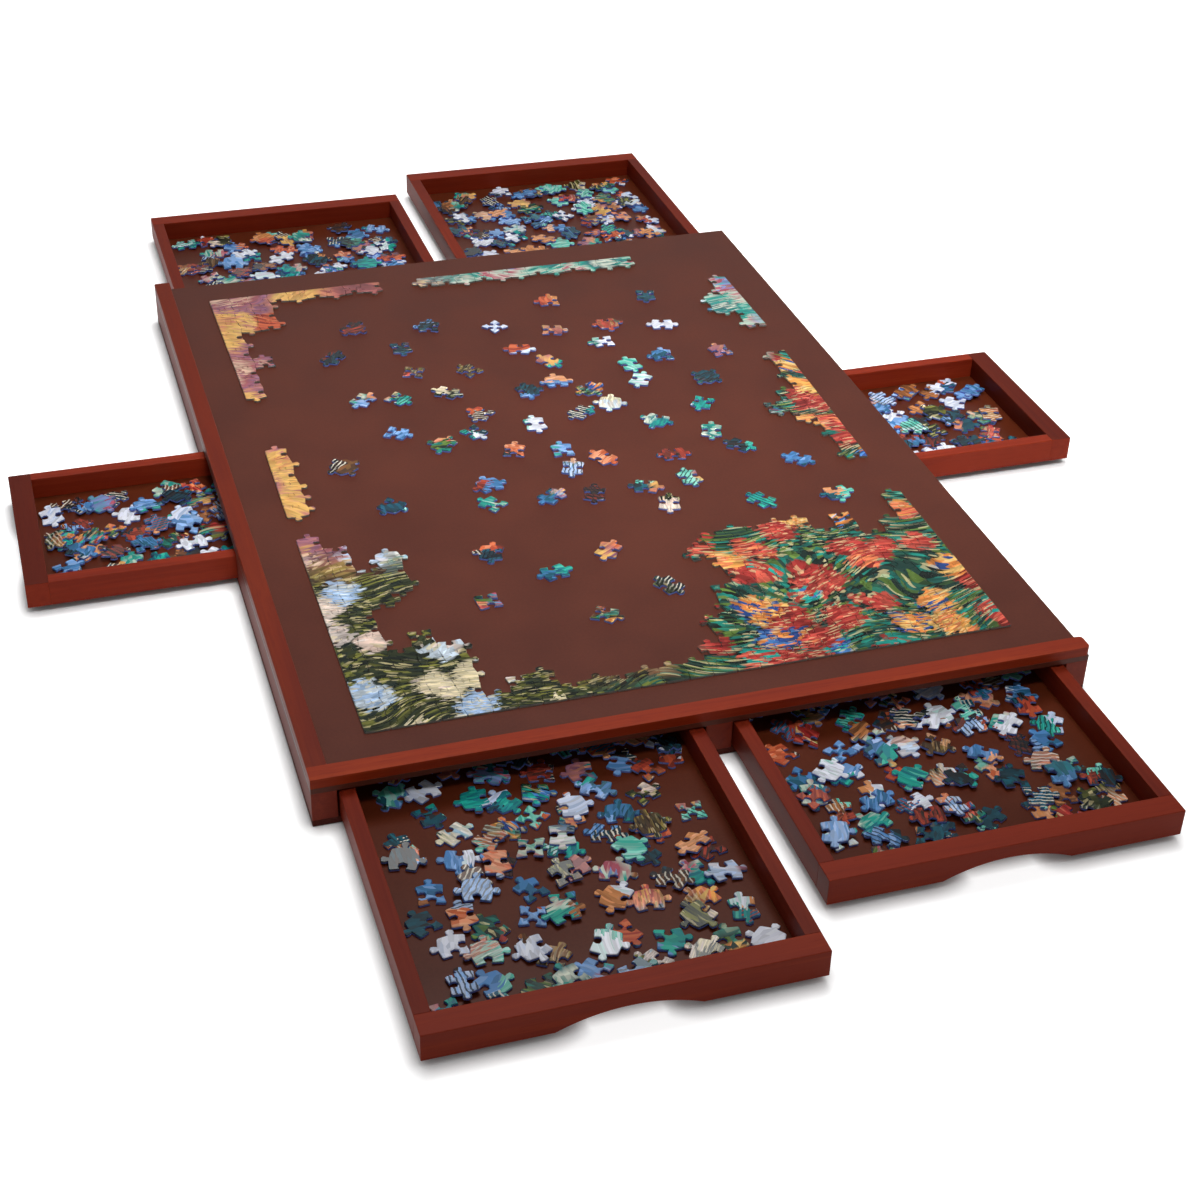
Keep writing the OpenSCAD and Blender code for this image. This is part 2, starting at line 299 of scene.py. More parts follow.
@dataclass(frozen=True)
class PrintedCard:
    """White-lined board, printed with an abstract painting in short brush dabs and varnished.

    To the eye: round blots on a dark ground at the bottom of the picture, pale on olive to the left
    and red on green to the right, worked over with a fine brush; soft peach to turquoise drifts
    along the upper edges; broad patches of blue, white, teal, salmon and charcoal in the middle, a
    few of them lined; over all of it a soft varnish gloss.

    A pair of numbers is where a change starts and where it ends. Those that aren't sizes are shares
    of a pattern's own range.
    """

    name: str
    width_mm: float
    height_mm: float
    broad: Brush = Brush(2.2, 7.5, 28.0, (0.74, 1.18))
    fine: Brush = Brush(1.4, 6.0, -38.0, (0.68, 1.32))
    ridge: float = 0.10
    ridge_mm: float = 0.1
    pale_touches: Span = (0.86, 0.9)
    pale_share: float = 0.5
    sweep_mm: float = 130.0
    sweep_push_mm: float = 130.0
    toss_mm: float = 8.0
    left_to_right: Span = (0.40, 0.62)
    blot_mm: float = 34.0
    blot_edge: Span = (0.46, 0.52)
    blot_dome_reach: float = 0.42
    blot_dome: Span = (1.12, 0.82)
    blot_stray: float = 0.15
    bare_left_to_right: Span = (0.28, 0.1)
    bare_in_gap: float = 0.8
    drift_mm: float = 90.0
    drift_push_mm: float = 70.0
    drift_spread: Span = (0.3, 0.7)
    drift_stray: float = 0.16
    patch_mm: float = 58.0
    patch_stray: float = 0.07
    lined_patches: Span = (0.74, 0.76)
    line_mm: float = 3.4
    line_edge: Span = (0.66, 0.84)
    line_share: float = 0.85
    horizon_mm: float = 225.0
    horizon_soft_mm: float = 70.0
    gap_mm: Span = (130.0, 250.0)
    gap_soft_mm: Span = (20.0, 14.0)
    gap_dip_mm: float = 180.0
    border_mm: float = 40.0
    border_soft_mm: float = 4.0
    border_climb_mm: float = 300.0
    varnish_index: float = 1.4
    roughness: float = 0.24
    pale: str = "#eedda6"
    line_inks: tuple = ((0.0, "#e3dccb"), (0.45, "#1c2028"), (0.85, "#a4432f"))
    ground_left: tuple[str, ...] = ("#1b221c", "#262e22", "#353c24", "#1f2a28", "#2f3420", "#4c5029",
                                    "#7c7c36")
    ground_right: tuple[str, ...] = ("#14211d", "#1b3029", "#1d3f38", "#1a6158", "#1f8f7e",
                                     "#2c4a2e", "#5d7a34")
    blots_left: tuple[str, ...] = ("#e6d8b6", "#ebd9cc", "#e4cabb", "#dccec6", "#cbd8e4", "#a6c2e4",
                                   "#dcd8c6", "#e0d2aa")
    blots_right: tuple[str, ...] = ("#7f2420", "#b23a32", "#a12e2b", "#c65142", "#b03a34", "#8e2824",
                                    "#cc4f44", "#e48052", "#e69e4e", "#ecbd6e", "#e08a44", "#2b4b8f",
                                    "#4a82c6", "#24a396", "#b23a34", "#d65f4c")
    drift_left: tuple[str, ...] = ("#8d4f52", "#b0625c", "#c98062", "#dba45c", "#e6b96a", "#c07a6c",
                                   "#8f5f7a", "#a45a5e", "#d9b49c")
    drift_right: tuple[str, ...] = ("#7f8fc4", "#22a896", "#8fd0bd", "#1f8f84", "#dfe4d2", "#2f6f74",
                                    "#23a08f", "#c6d3c2", "#b8586a")
    middle: tuple[str, ...] = ("#24282c", "#1c5464", "#1f7585", "#22ac97", "#86d6c4", "#e6e9f2",
                               "#dfe2f0", "#c4d4f0", "#90b7ea", "#4c83be", "#1d5a70", "#24292e",
                               "#5a3a28", "#a5673c", "#d98f56", "#e8ac86", "#d3683f", "#a23a2c",
                               "#3a2a26")

    def build(self) -> Material:
        """Make the material. Returns: the material, which reads the picture's print_at attribute."""
        material, tree = new_material(self.name)
        place = add_node(tree, "ShaderNodeAttribute",
                         {"attribute_name": "print_at"}).outputs["Vector"]
        dabs = self._dabs(tree, place, self.broad)
        stroke = add_node(tree, "ShaderNodeSeparateColor",
                          links={"Color": dabs.outputs["Color"]}).outputs
        toss, push = [(most * MM, most * MM, 0.0) for most in (self.toss_mm, self.drift_push_mm)]
        spot = add_node(tree, "ShaderNodeVectorMath", {"operation": "MULTIPLY_ADD", 1: toss},
                        {0: dabs.outputs["Color"], 2: place}).outputs["Vector"]
        bend = add_node(tree, "ShaderNodeTexNoise", {
            "Scale": per_metre(self.drift_mm)[0], "Detail": 3.0}, {"Vector": spot})
        pushed = add_node(tree, "ShaderNodeVectorMath", {"operation": "MULTIPLY_ADD", 1: push},
                          {0: bend.outputs["Color"], 2: spot}).outputs["Vector"]
        there = add_node(tree, "ShaderNodeSeparateXYZ", links={0: spot}).outputs
        bent = add_node(tree, "ShaderNodeSeparateXYZ", links={0: pushed}).outputs
        middle = tuple(part * self.width_mm for part in self.left_to_right)
        right = add_node(tree, "ShaderNodeMapRange", ramp(middle, unit=MM),
                         {"Value": bent["X"]}).outputs["Result"]
        gap = self._gap(tree, there["X"])
        above = add_node(tree, "ShaderNodeMix", BLEND, {
            0: self._inside_border(tree, there),
            6: self._drifts(tree, bend.outputs["Fac"], stroke, right),
            7: self._patches(tree, place, pushed, stroke)})
        below = self._touches(tree, place, self._blots(tree, pushed, gap, stroke, right))
        picture = add_node(tree, "ShaderNodeMix", BLEND, {
            0: self._above_horizon(tree, there["X"], bent["Y"], gap), 6: below,
            7: above.outputs[2]})
        load = add_node(tree, "ShaderNodeMapRange", ramp((0.0, 1.0), self.broad.load),
                        {"Value": stroke["Green"]})
        painted = add_node(tree, "ShaderNodeMix", TINT, {
            6: picture.outputs[2], 7: load.outputs["Result"]})
        relief = add_node(tree, "ShaderNodeBump", {
            "Strength": self.ridge, "Distance": self.ridge_mm * MM},
            {"Height": dabs.outputs["Distance"]})
        shader = add_node(tree, "ShaderNodeBsdfPrincipled", {
            "IOR": self.varnish_index, "Roughness": self.roughness}, {
            "Base Color": painted.outputs[2], "Normal": relief.outputs["Normal"]})
        add_node(tree, "ShaderNodeOutputMaterial", links={"Surface": shader.outputs["BSDF"]})
        return material

    @staticmethod
    def _stray(tree: Tree, lot: Socket, stroke: Outputs, share: float) -> Socket:
        """Let each dab's colour stray from its patch's. Returns: the dab's place in the palette."""
        drift = add_node(tree, "ShaderNodeMath", {"operation": "MULTIPLY_ADD", 1: share},
                         {0: stroke["Red"], 2: lot})
        return add_node(tree, "ShaderNodeMath", {"operation": "FRACT"},
                        {0: drift.outputs["Value"]}).outputs["Value"]

    @staticmethod
    def _either(tree: Tree, pick: Socket, palettes: tuple[tuple[str, ...], ...], share: Socket,
                blend: str = "LINEAR") -> Socket:
        """Pick from a left palette and a right one.

        Args:
            tree: the material's tree.
            pick: the place in the palettes.
            palettes: the left palette and the right one.
            share: the share of the right one.
            blend: how colours go over into each other.

        Returns:
            The colour.
        """
        left, right = [add_node(tree, "ShaderNodeValToRGB", {"stops": even_stops(codes, blend)},
                                {"Fac": pick}).outputs["Color"] for codes in palettes]
        return add_node(tree, "ShaderNodeMix", BLEND, {0: share, 6: left, 7: right}).outputs[2]

    def _dabs(self, tree: Tree, place: Socket, brush: Brush) -> Node:
        """Lay short dabs that follow a curving sweep.

        Args:
            tree: the material's tree.
            place: the place in the picture.
            brush: the brush that lays them.

        Returns:
            The texture, one cell to a dab.
        """
        push = self.sweep_push_mm * MM
        sweep = add_node(tree, "ShaderNodeTexNoise", {
            "Scale": per_metre(self.sweep_mm)[0], "Detail": 1.0}, {"Vector": place})
        swept = add_node(tree, "ShaderNodeVectorMath", {
            "operation": "MULTIPLY_ADD", 1: (push, push, 0.0)},
            {0: sweep.outputs["Color"], 2: place})
        way = add_node(tree, "ShaderNodeMapping", {
            "Rotation": (0.0, 0.0, math.radians(brush.turn_degrees)),
            "Scale": per_metre(brush.length_mm, brush.width_mm, brush.width_mm)},
            {"Vector": swept.outputs["Vector"]})
        return add_node(tree, "ShaderNodeTexVoronoi", {"voronoi_dimensions": "2D", "Scale": 1.0},
                        {"Vector": way.outputs["Vector"]})

    def _touches(self, tree: Tree, place: Socket, paint: Socket) -> Socket:
        """Work over the paint with a fine brush, in lighter and darker touches and a few pale ones.

        Args:
            tree: the material's tree.
            place: the place in the picture.
            paint: the colour under the touches.

        Returns:
            The colour.
        """
        touches = self._dabs(tree, place, self.fine)
        lot = add_node(tree, "ShaderNodeSeparateColor", links={"Color": touches.outputs["Color"]})
        shade = add_node(tree, "ShaderNodeMapRange", ramp((0.0, 1.0), self.fine.load),
                         {"Value": lot.outputs["Green"]})
        shaded = add_node(tree, "ShaderNodeMix", TINT, {6: paint, 7: shade.outputs["Result"]})
        share = add_node(tree, "ShaderNodeMapRange", ramp(self.pale_touches, (0.0, self.pale_share)),
                         {"Value": lot.outputs["Blue"]})
        return add_node(tree, "ShaderNodeMix", {**BLEND, 7: linear(self.pale)},
                        {0: share.outputs["Result"], 6: shaded.outputs[2]}).outputs[2]

    def _gap(self, tree: Tree, across: Socket) -> Socket:
        """Find the gap in the near edge. Returns: a share, 1 in the gap's middle."""
        (first, last), (soft, soft_last) = self.gap_mm, self.gap_soft_mm
        edges = (first - soft, first + soft), (last + soft_last, last - soft_last)
        shares = [add_node(tree, "ShaderNodeMapRange", ramp(edge, unit=MM),
                           {"Value": across}).outputs["Result"] for edge in edges]
        return add_node(tree, "ShaderNodeMath", {"operation": "MULTIPLY"},
                        dict(enumerate(shares))).outputs["Value"]

    def _inside_border(self, tree: Tree, there: Outputs) -> Socket:
        """Find what lies inside the border. Returns: a share, 0 on the border and 1 inside it."""
        off_axis = add_node(tree, "ShaderNodeMath", {
            "operation": "SUBTRACT", 1: self.width_mm / 2 * MM}, {0: there["X"]})
        aside = add_node(tree, "ShaderNodeMath", {"operation": "ABSOLUTE"},
                         {0: off_axis.outputs["Value"]})
        soft = self.border_soft_mm
        edges = ((self.width_mm / 2 - self.border_mm, aside.outputs["Value"]),
                 (self.height_mm - self.border_mm, there["Y"]))
        shares = [add_node(tree, "ShaderNodeMapRange", ramp((edge + soft, edge), unit=MM),
                           {"Value": value}).outputs["Result"] for edge, value in edges]
        return add_node(tree, "ShaderNodeMath", {"operation": "MULTIPLY"},
                        dict(enumerate(shares))).outputs["Value"]

    def _above_horizon(self, tree: Tree, across: Socket, up: Socket, gap: Socket) -> Socket:
        """Part the picture along a horizon that climbs at the right edge and dips in the gap.

        Args:
            tree: the material's tree.
            across, up: the dab's place in the picture.
            gap: the share of the gap.

        Returns:
            A share, 0 below the horizon and 1 above it.
        """
        right_edge = (self.width_mm - 2 * self.border_mm, self.width_mm)
        horizon = (self.horizon_mm, self.horizon_mm + self.horizon_soft_mm)
        edge = add_node(tree, "ShaderNodeMapRange", ramp(right_edge, unit=MM), {"Value": across})
        climb = add_node(tree, "ShaderNodeMath", {
            "operation": "MULTIPLY_ADD", 1: -self.border_climb_mm * MM},
            {0: edge.outputs["Result"], 2: up})
        level = add_node(tree, "ShaderNodeMath", {
            "operation": "MULTIPLY_ADD", 1: self.gap_dip_mm * MM},
            {0: gap, 2: climb.outputs["Value"]})
        return add_node(tree, "ShaderNodeMapRange", ramp(horizon, unit=MM),
                        {"Value": level.outputs["Value"]}).outputs["Result"]

    def _drifts(self, tree: Tree, bend: Socket, stroke: Outputs, right: Socket) -> Socket:
        """Paint soft drifts of colour.

        Args:
            tree: the material's tree.
            bend: the cloud pattern that they follow.
            stroke: the dab's own random numbers.
            right: the share of the right palette.

        Returns:
            The colour.
        """
        soft = add_node(tree, "ShaderNodeMapRange", ramp(self.drift_spread), {"Value": bend})
        pick = self._stray(tree, soft.outputs["Result"], stroke, self.drift_stray)
        return self._either(tree, pick, (self.drift_left, self.drift_right), right)

    def _blots(self, tree: Tree, place: Socket, gap: Socket, stroke: Outputs,
               right: Socket) -> Socket:
        """Paint round blots on a dark ground.

        Args:
            tree: the material's tree.
            place: the bent place of the dab.
            gap: the share of the gap, where blots are rare.
            stroke: the dab's own random numbers.
            right: the share of the right palette.

        Returns:
            The colour.
        """
        cells = add_node(tree, "ShaderNodeTexVoronoi", {
            "voronoi_dimensions": "2D", "Scale": per_metre(self.blot_mm)[0]}, {"Vector": place})
        lot = add_node(tree, "ShaderNodeSeparateColor", links={"Color": cells.outputs["Color"]})
        away = {"Value": cells.outputs["Distance"]}
        round_one = add_node(tree, "ShaderNodeMapRange", ramp(self.blot_edge, (1.0, 0.0)), away)
        scarce = add_node(tree, "ShaderNodeMapRange", ramp((0.0, 1.0), self.bare_left_to_right),
                          {"Value": right})
        rare = add_node(tree, "ShaderNodeMapRange", {"To Max": self.bare_in_gap},
                        {"Value": gap, "To Min": scarce.outputs["Result"]})
        present = add_node(tree, "ShaderNodeMath", {"operation": "GREATER_THAN"}, {
            0: lot.outputs["Green"], 1: rare.outputs["Result"]})
        blotted = add_node(tree, "ShaderNodeMath", {"operation": "MULTIPLY"}, {
            0: round_one.outputs["Result"], 1: present.outputs["Value"]})
        ground = self._either(tree, stroke["Red"], (self.ground_left, self.ground_right), right)
        pick = self._stray(tree, lot.outputs["Red"], stroke, self.blot_stray)
        blot = self._either(tree, pick, (self.blots_left, self.blots_right), right, "CONSTANT")
        heart = add_node(tree, "ShaderNodeMapRange",
                         ramp((0.0, self.blot_dome_reach), self.blot_dome), away)
        domed = add_node(tree, "ShaderNodeMix", TINT, {6: blot, 7: heart.outputs["Result"]})
        return add_node(tree, "ShaderNodeMix", BLEND, {
            0: blotted.outputs["Value"], 6: ground, 7: domed.outputs[2]}).outputs[2]

    def _patches(self, tree: Tree, place: Socket, pushed: Socket, stroke: Outputs) -> Socket:
        """Paint broad patches, a few of them with thin lines.

        Args:
            tree: the material's tree.
            place: the true place in the picture.
            pushed: the bent place of the dab.
            stroke: the dab's own random numbers.

        Returns:
            The colour.
        """
        cells = add_node(tree, "ShaderNodeTexVoronoi", {
            "voronoi_dimensions": "2D", "Scale": per_metre(self.patch_mm)[0]}, {"Vector": pushed})
        lot = add_node(tree, "ShaderNodeSeparateColor", links={"Color": cells.outputs["Color"]})
        pick = self._stray(tree, lot.outputs["Red"], stroke, self.patch_stray)
        colour = add_node(tree, "ShaderNodeValToRGB", {"stops": even_stops(self.middle)},
                          {"Fac": pick})
        turn = add_node(tree, "ShaderNodeMath", {"operation": "MULTIPLY", 1: math.pi},
                        {0: lot.outputs["Green"]})
        turned = add_node(tree, "ShaderNodeVectorRotate", {"rotation_type": "Z_AXIS"}, {
            "Vector": place, "Angle": turn.outputs["Value"]})
        lines = add_node(tree, "ShaderNodeTexWave", {
            "Scale": per_metre(self.line_mm)[0] * WAVE_SCALE, "Distortion": 4.0, "Detail": 3.0,
            "Detail Scale": 1.6}, {"Vector": turned.outputs["Vector"]})
        crisp = add_node(tree, "ShaderNodeMapRange", ramp(self.line_edge),
                         {"Value": lines.outputs["Fac"]})
        lined = add_node(tree, "ShaderNodeMapRange",
                         ramp(self.lined_patches, (0.0, self.line_share)),
                         {"Value": lot.outputs["Blue"]})
        amount = add_node(tree, "ShaderNodeMath", {"operation": "MULTIPLY"}, {
            0: lined.outputs["Result"], 1: crisp.outputs["Result"]})
        ink = add_node(tree, "ShaderNodeValToRGB", {"stops": ("CONSTANT", self.line_inks)},
                       {"Fac": lot.outputs["Green"]})
        return add_node(tree, "ShaderNodeMix", BLEND, {
            0: amount.outputs["Value"], 6: colour.outputs["Color"],
            7: ink.outputs["Color"]}).outputs[2]


@dataclass(frozen=True)
class GrainedSolid:
    """A plain material with a fine grain: cut card, bare dowel beech or zinc plate.

    To the eye: one colour, broken by the fibres or crystals of the stuff itself.
    """

    name: str
    dark: str
    light: str
    roughness: float
    grain_mm: float
    metallic: float = 0.0
    tone_stops: Span = (0.35, 0.65)

    def build(self) -> Material:
        """Make the material. Returns: the material, on the object's own coordinates."""
        material, tree = new_material(self.name)
        place = add_node(tree, "ShaderNodeTexCoord")
        fibres = add_node(tree, "ShaderNodeTexNoise", {
            "Scale": per_metre(self.grain_mm)[0], "Detail": 3.0},
            {"Vector": place.outputs["Object"]})
        stops = tuple(zip(self.tone_stops, (self.dark, self.light)))
        tone = add_node(tree, "ShaderNodeValToRGB", {"stops": ("LINEAR", stops)},
                        {"Fac": fibres.outputs["Fac"]})
        shader = add_node(tree, "ShaderNodeBsdfPrincipled", {
            "Roughness": self.roughness, "Metallic": self.metallic},
            {"Base Color": tone.outputs["Color"]})
        add_node(tree, "ShaderNodeOutputMaterial", links={"Surface": shader.outputs["BSDF"]})
        return material


RIM_WOOD = StainedWood("mahogany_stained_rim", "#80240a", "#8e2c0c", "#9b3510")
FRAME_WOOD = StainedWood("mahogany_stained_frame", "#6c1f10", "#7a2814", "#862f18",
                         roughness=0.58, lacquer_index=1.33)
DRAWER_WOOD = StainedWood("mahogany_stained_drawer", "#7f240f", "#8b2b13", "#973317",
                          lacquer_index=1.23)
PANEL_BOARD = LacqueredHardboard("brown_lacquered_panel", "#53261a", "#5d2c1e")
FLOOR_BOARD = LacqueredHardboard("brown_lacquered_drawer_floor", "#52210f", "#5c2713",
                                 roughness=0.3)
BASE_BOARD = LacqueredHardboard("brown_matt_base", "#4a1a11", "#542016", roughness=0.75)
PRINT = PrintedCard("varnished_print", PUZZLE_COLUMNS * PITCH_MM, PUZZLE_ROWS * PITCH_MM)
LOOSE_CORE = GrainedSolid("blue_card_core", "#4a62b8", "#7c93da", roughness=0.6, grain_mm=0.6)
JOINED_CORE = GrainedSolid("grey_card_core", "#5c5955", "#7d7973", roughness=0.7, grain_mm=0.6)
DOWEL_BEECH = GrainedSolid("bare_beech", "#b08a5e", "#c9a67c", roughness=0.65, grain_mm=1.5)
SCREW_ZINC = GrainedSolid("zinc_plate", "#9a9c9e", "#b9bbbd", roughness=0.35, grain_mm=0.8,
                          metallic=1.0)


@dataclass
class WoodPart:
    """One board or strip: its solid with the arrises taken off and the grain laid along it."""

    node: str
    body: str
    slot: str
    material: Material
    arris_mm: float = 0.5
    butt_ends: bool = False
    shortest_arris_mm: float = 4.0
    arris_segments: int = 2
    merge_mm: float = 0.005
    flat_degrees: float = 0.5
    sharp_degrees: float = 35.0
    along_axis: float = 0.9
    facing_axis: float = 0.8
    # Painted highlight: the share of the light colour on the bevelled arrises.
    arris_highlight: float = 0.2
    end_soak: float = 0.08
    # Painted shade: the long faces of boards along Y and the end faces of the others are darkened by
    # this factor.
    lengthwise_painted_shade: float = 0.74
    tone_spread: float = 0.05
    plank_reach_m: float = 3.0

    def build(self) -> bpy.types.Object:
        """Make the part in place of its solid. Returns: the new object, riding on its body."""
        mesh = bpy.data.meshes.new(f"{self.node}_board")
        shape = bmesh.new()
        shape.from_mesh(frame["nodes"][self.node].data)
        low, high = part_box(self.node)
        axis = max(range(3), key=lambda i: (high - low)[i])
        self._take_off_arrises(shape, axis)
        self._stain(shape, axis)
        shape.to_mesh(mesh)
        shape.free()
        self._lay_grain(mesh, axis)
        mesh.materials.append(self.material)
        board = bpy.data.objects.new(mesh.name, mesh)
        bpy.context.scene.collection.objects.link(board)
        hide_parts(self.node)
        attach(board, self.body)
        LOG.info("%s: %d faces on %s", board.name, len(mesh.polygons), self.body)
        return board

    def _take_off_arrises(self, shape: bmesh.types.BMesh, axis: int) -> None:
        """Merge the solid's loose triangles into whole faces and bevel its long outer edges.

        Args:
            shape: the solid's mesh, changed in place.
            axis: the axis along the board; with butt ends only the edges along it are bevelled.
        """
        bmesh.ops.remove_doubles(shape, verts=shape.verts, dist=self.merge_mm * MM)
        bmesh.ops.dissolve_limit(shape, angle_limit=math.radians(self.flat_degrees),
                                 verts=shape.verts, edges=shape.edges)
        sharp = [edge for edge in shape.edges
                 if edge.is_manifold and edge.is_convex
                 and edge.calc_face_angle() > math.radians(self.sharp_degrees)
                 and edge.calc_length() > self.shortest_arris_mm * MM
                 and (not self.butt_ends or self._runs_along(edge, axis))]
        # Marks the bevel faces, which get the painted highlight.
        painted_arris_highlight = shape.faces.layers.float.new("arris")
        made = bmesh.ops.bevel(shape, geom=sharp, offset=self.arris_mm * MM,
                               segments=self.arris_segments, profile=0.5, affect="EDGES",
                               clamp_overlap=True)
        for face in made["faces"]:
            face[painted_arris_highlight] = self.arris_highlight

    def _runs_along(self, edge: bmesh.types.BMEdge, axis: int) -> bool:
        """Tell whether an edge runs along an axis."""
        way = edge.verts[1].co - edge.verts[0].co
        return abs(way[axis]) > self.along_axis * way.length

    def _stain(self, shape: bmesh.types.BMesh, axis: int) -> None:
        """Give each face the plank's tone and a painted shade by the way it runs, darker on the long
        faces of boards along Y and on the end faces of the others; mark the end grain for its soak.

        Args:
            shape: the part's mesh, changed in place.
            axis: the axis that the grain runs along.
        """
        own = 1 + random.Random(self.node).uniform(-self.tone_spread, self.tone_spread)
        ends = shape.faces.layers.float.new("end_grain")
        tones_and_painted_shade = shape.faces.layers.float.new("plank_tone")
        for face in shape.faces:
            is_end = abs(face.normal[axis]) > self.facing_axis
            face[ends] = self.end_soak if is_end else 0.0
            # Painted shade by the way the face runs, on top of the plank's own random tone.
            face[tones_and_painted_shade] = own * (self.lengthwise_painted_shade if (axis == 1) != is_end else 1.0)

    def _lay_grain(self, mesh: bpy.types.Mesh, axis: int) -> None:
        """Give each point its place in the plank, with X along the grain.

        Args:
            mesh: the part's mesh.
            axis: the axis that the grain runs along.
        """
        places = np.empty(len(mesh.vertices) * 3, np.float32)
        mesh.vertices.foreach_get("co", places)
        draw = random.Random(mesh.name)
        reach = self.plank_reach_m
        plank = np.array([draw.uniform(-reach, reach) for _ in range(3)], np.float32)
        turned = np.roll(places.reshape(-1, 3), -axis, axis=1) + plank
        grain = mesh.attributes.new("grain", "FLOAT_VECTOR", "POINT")
        grain.data.foreach_set("vector", np.ascontiguousarray(turned).ravel())


class Bulge(Enum):
    """The side of a cut line, seen along it, to which the knob stands."""

    NONE = 0
    LEFT = 1
    RIGHT = -1


@dataclass(frozen=True)
class Knob:
    """The form of an interlocking knob, in shares of the piece's pitch."""

    neck: float
    head: float
    lean: float
    corner: float = 0.05
    neck_height: float = 0.06
    head_height: float = 0.228
    head_rise: float = 0.122
    head_degrees: tuple[float, ...] = (205.0, 150.0, 90.0, 30.0, -25.0)

    def line(self, bulge: Bulge) -> np.ndarray:
        """Draw a cut line from (0, 0) to (1, 0), with both ends drawn in for the worn corners.

        Args:
            bulge: the side that the knob stands to.

        Returns:
            The line's points.
        """
        start, end = (self.corner, 0.0), (1 - self.corner, 0.0)
        if bulge is Bulge.NONE:
            return np.array([start, end])
        mid, turns = 0.5 + self.lean, np.radians(self.head_degrees)
        round_head = np.stack([mid + self.head * np.cos(turns),
                               self.head_height + self.head_rise * np.sin(turns)], 1)
        points = np.vstack([start, (mid - self.neck, self.neck_height), round_head,
                            (mid + self.neck, self.neck_height), end])
        return points * (1, bulge.value)


KNOBS = (Knob(0.098, 0.166, 0.0), Knob(0.09, 0.158, 0.018), Knob(0.104, 0.17, -0.018))


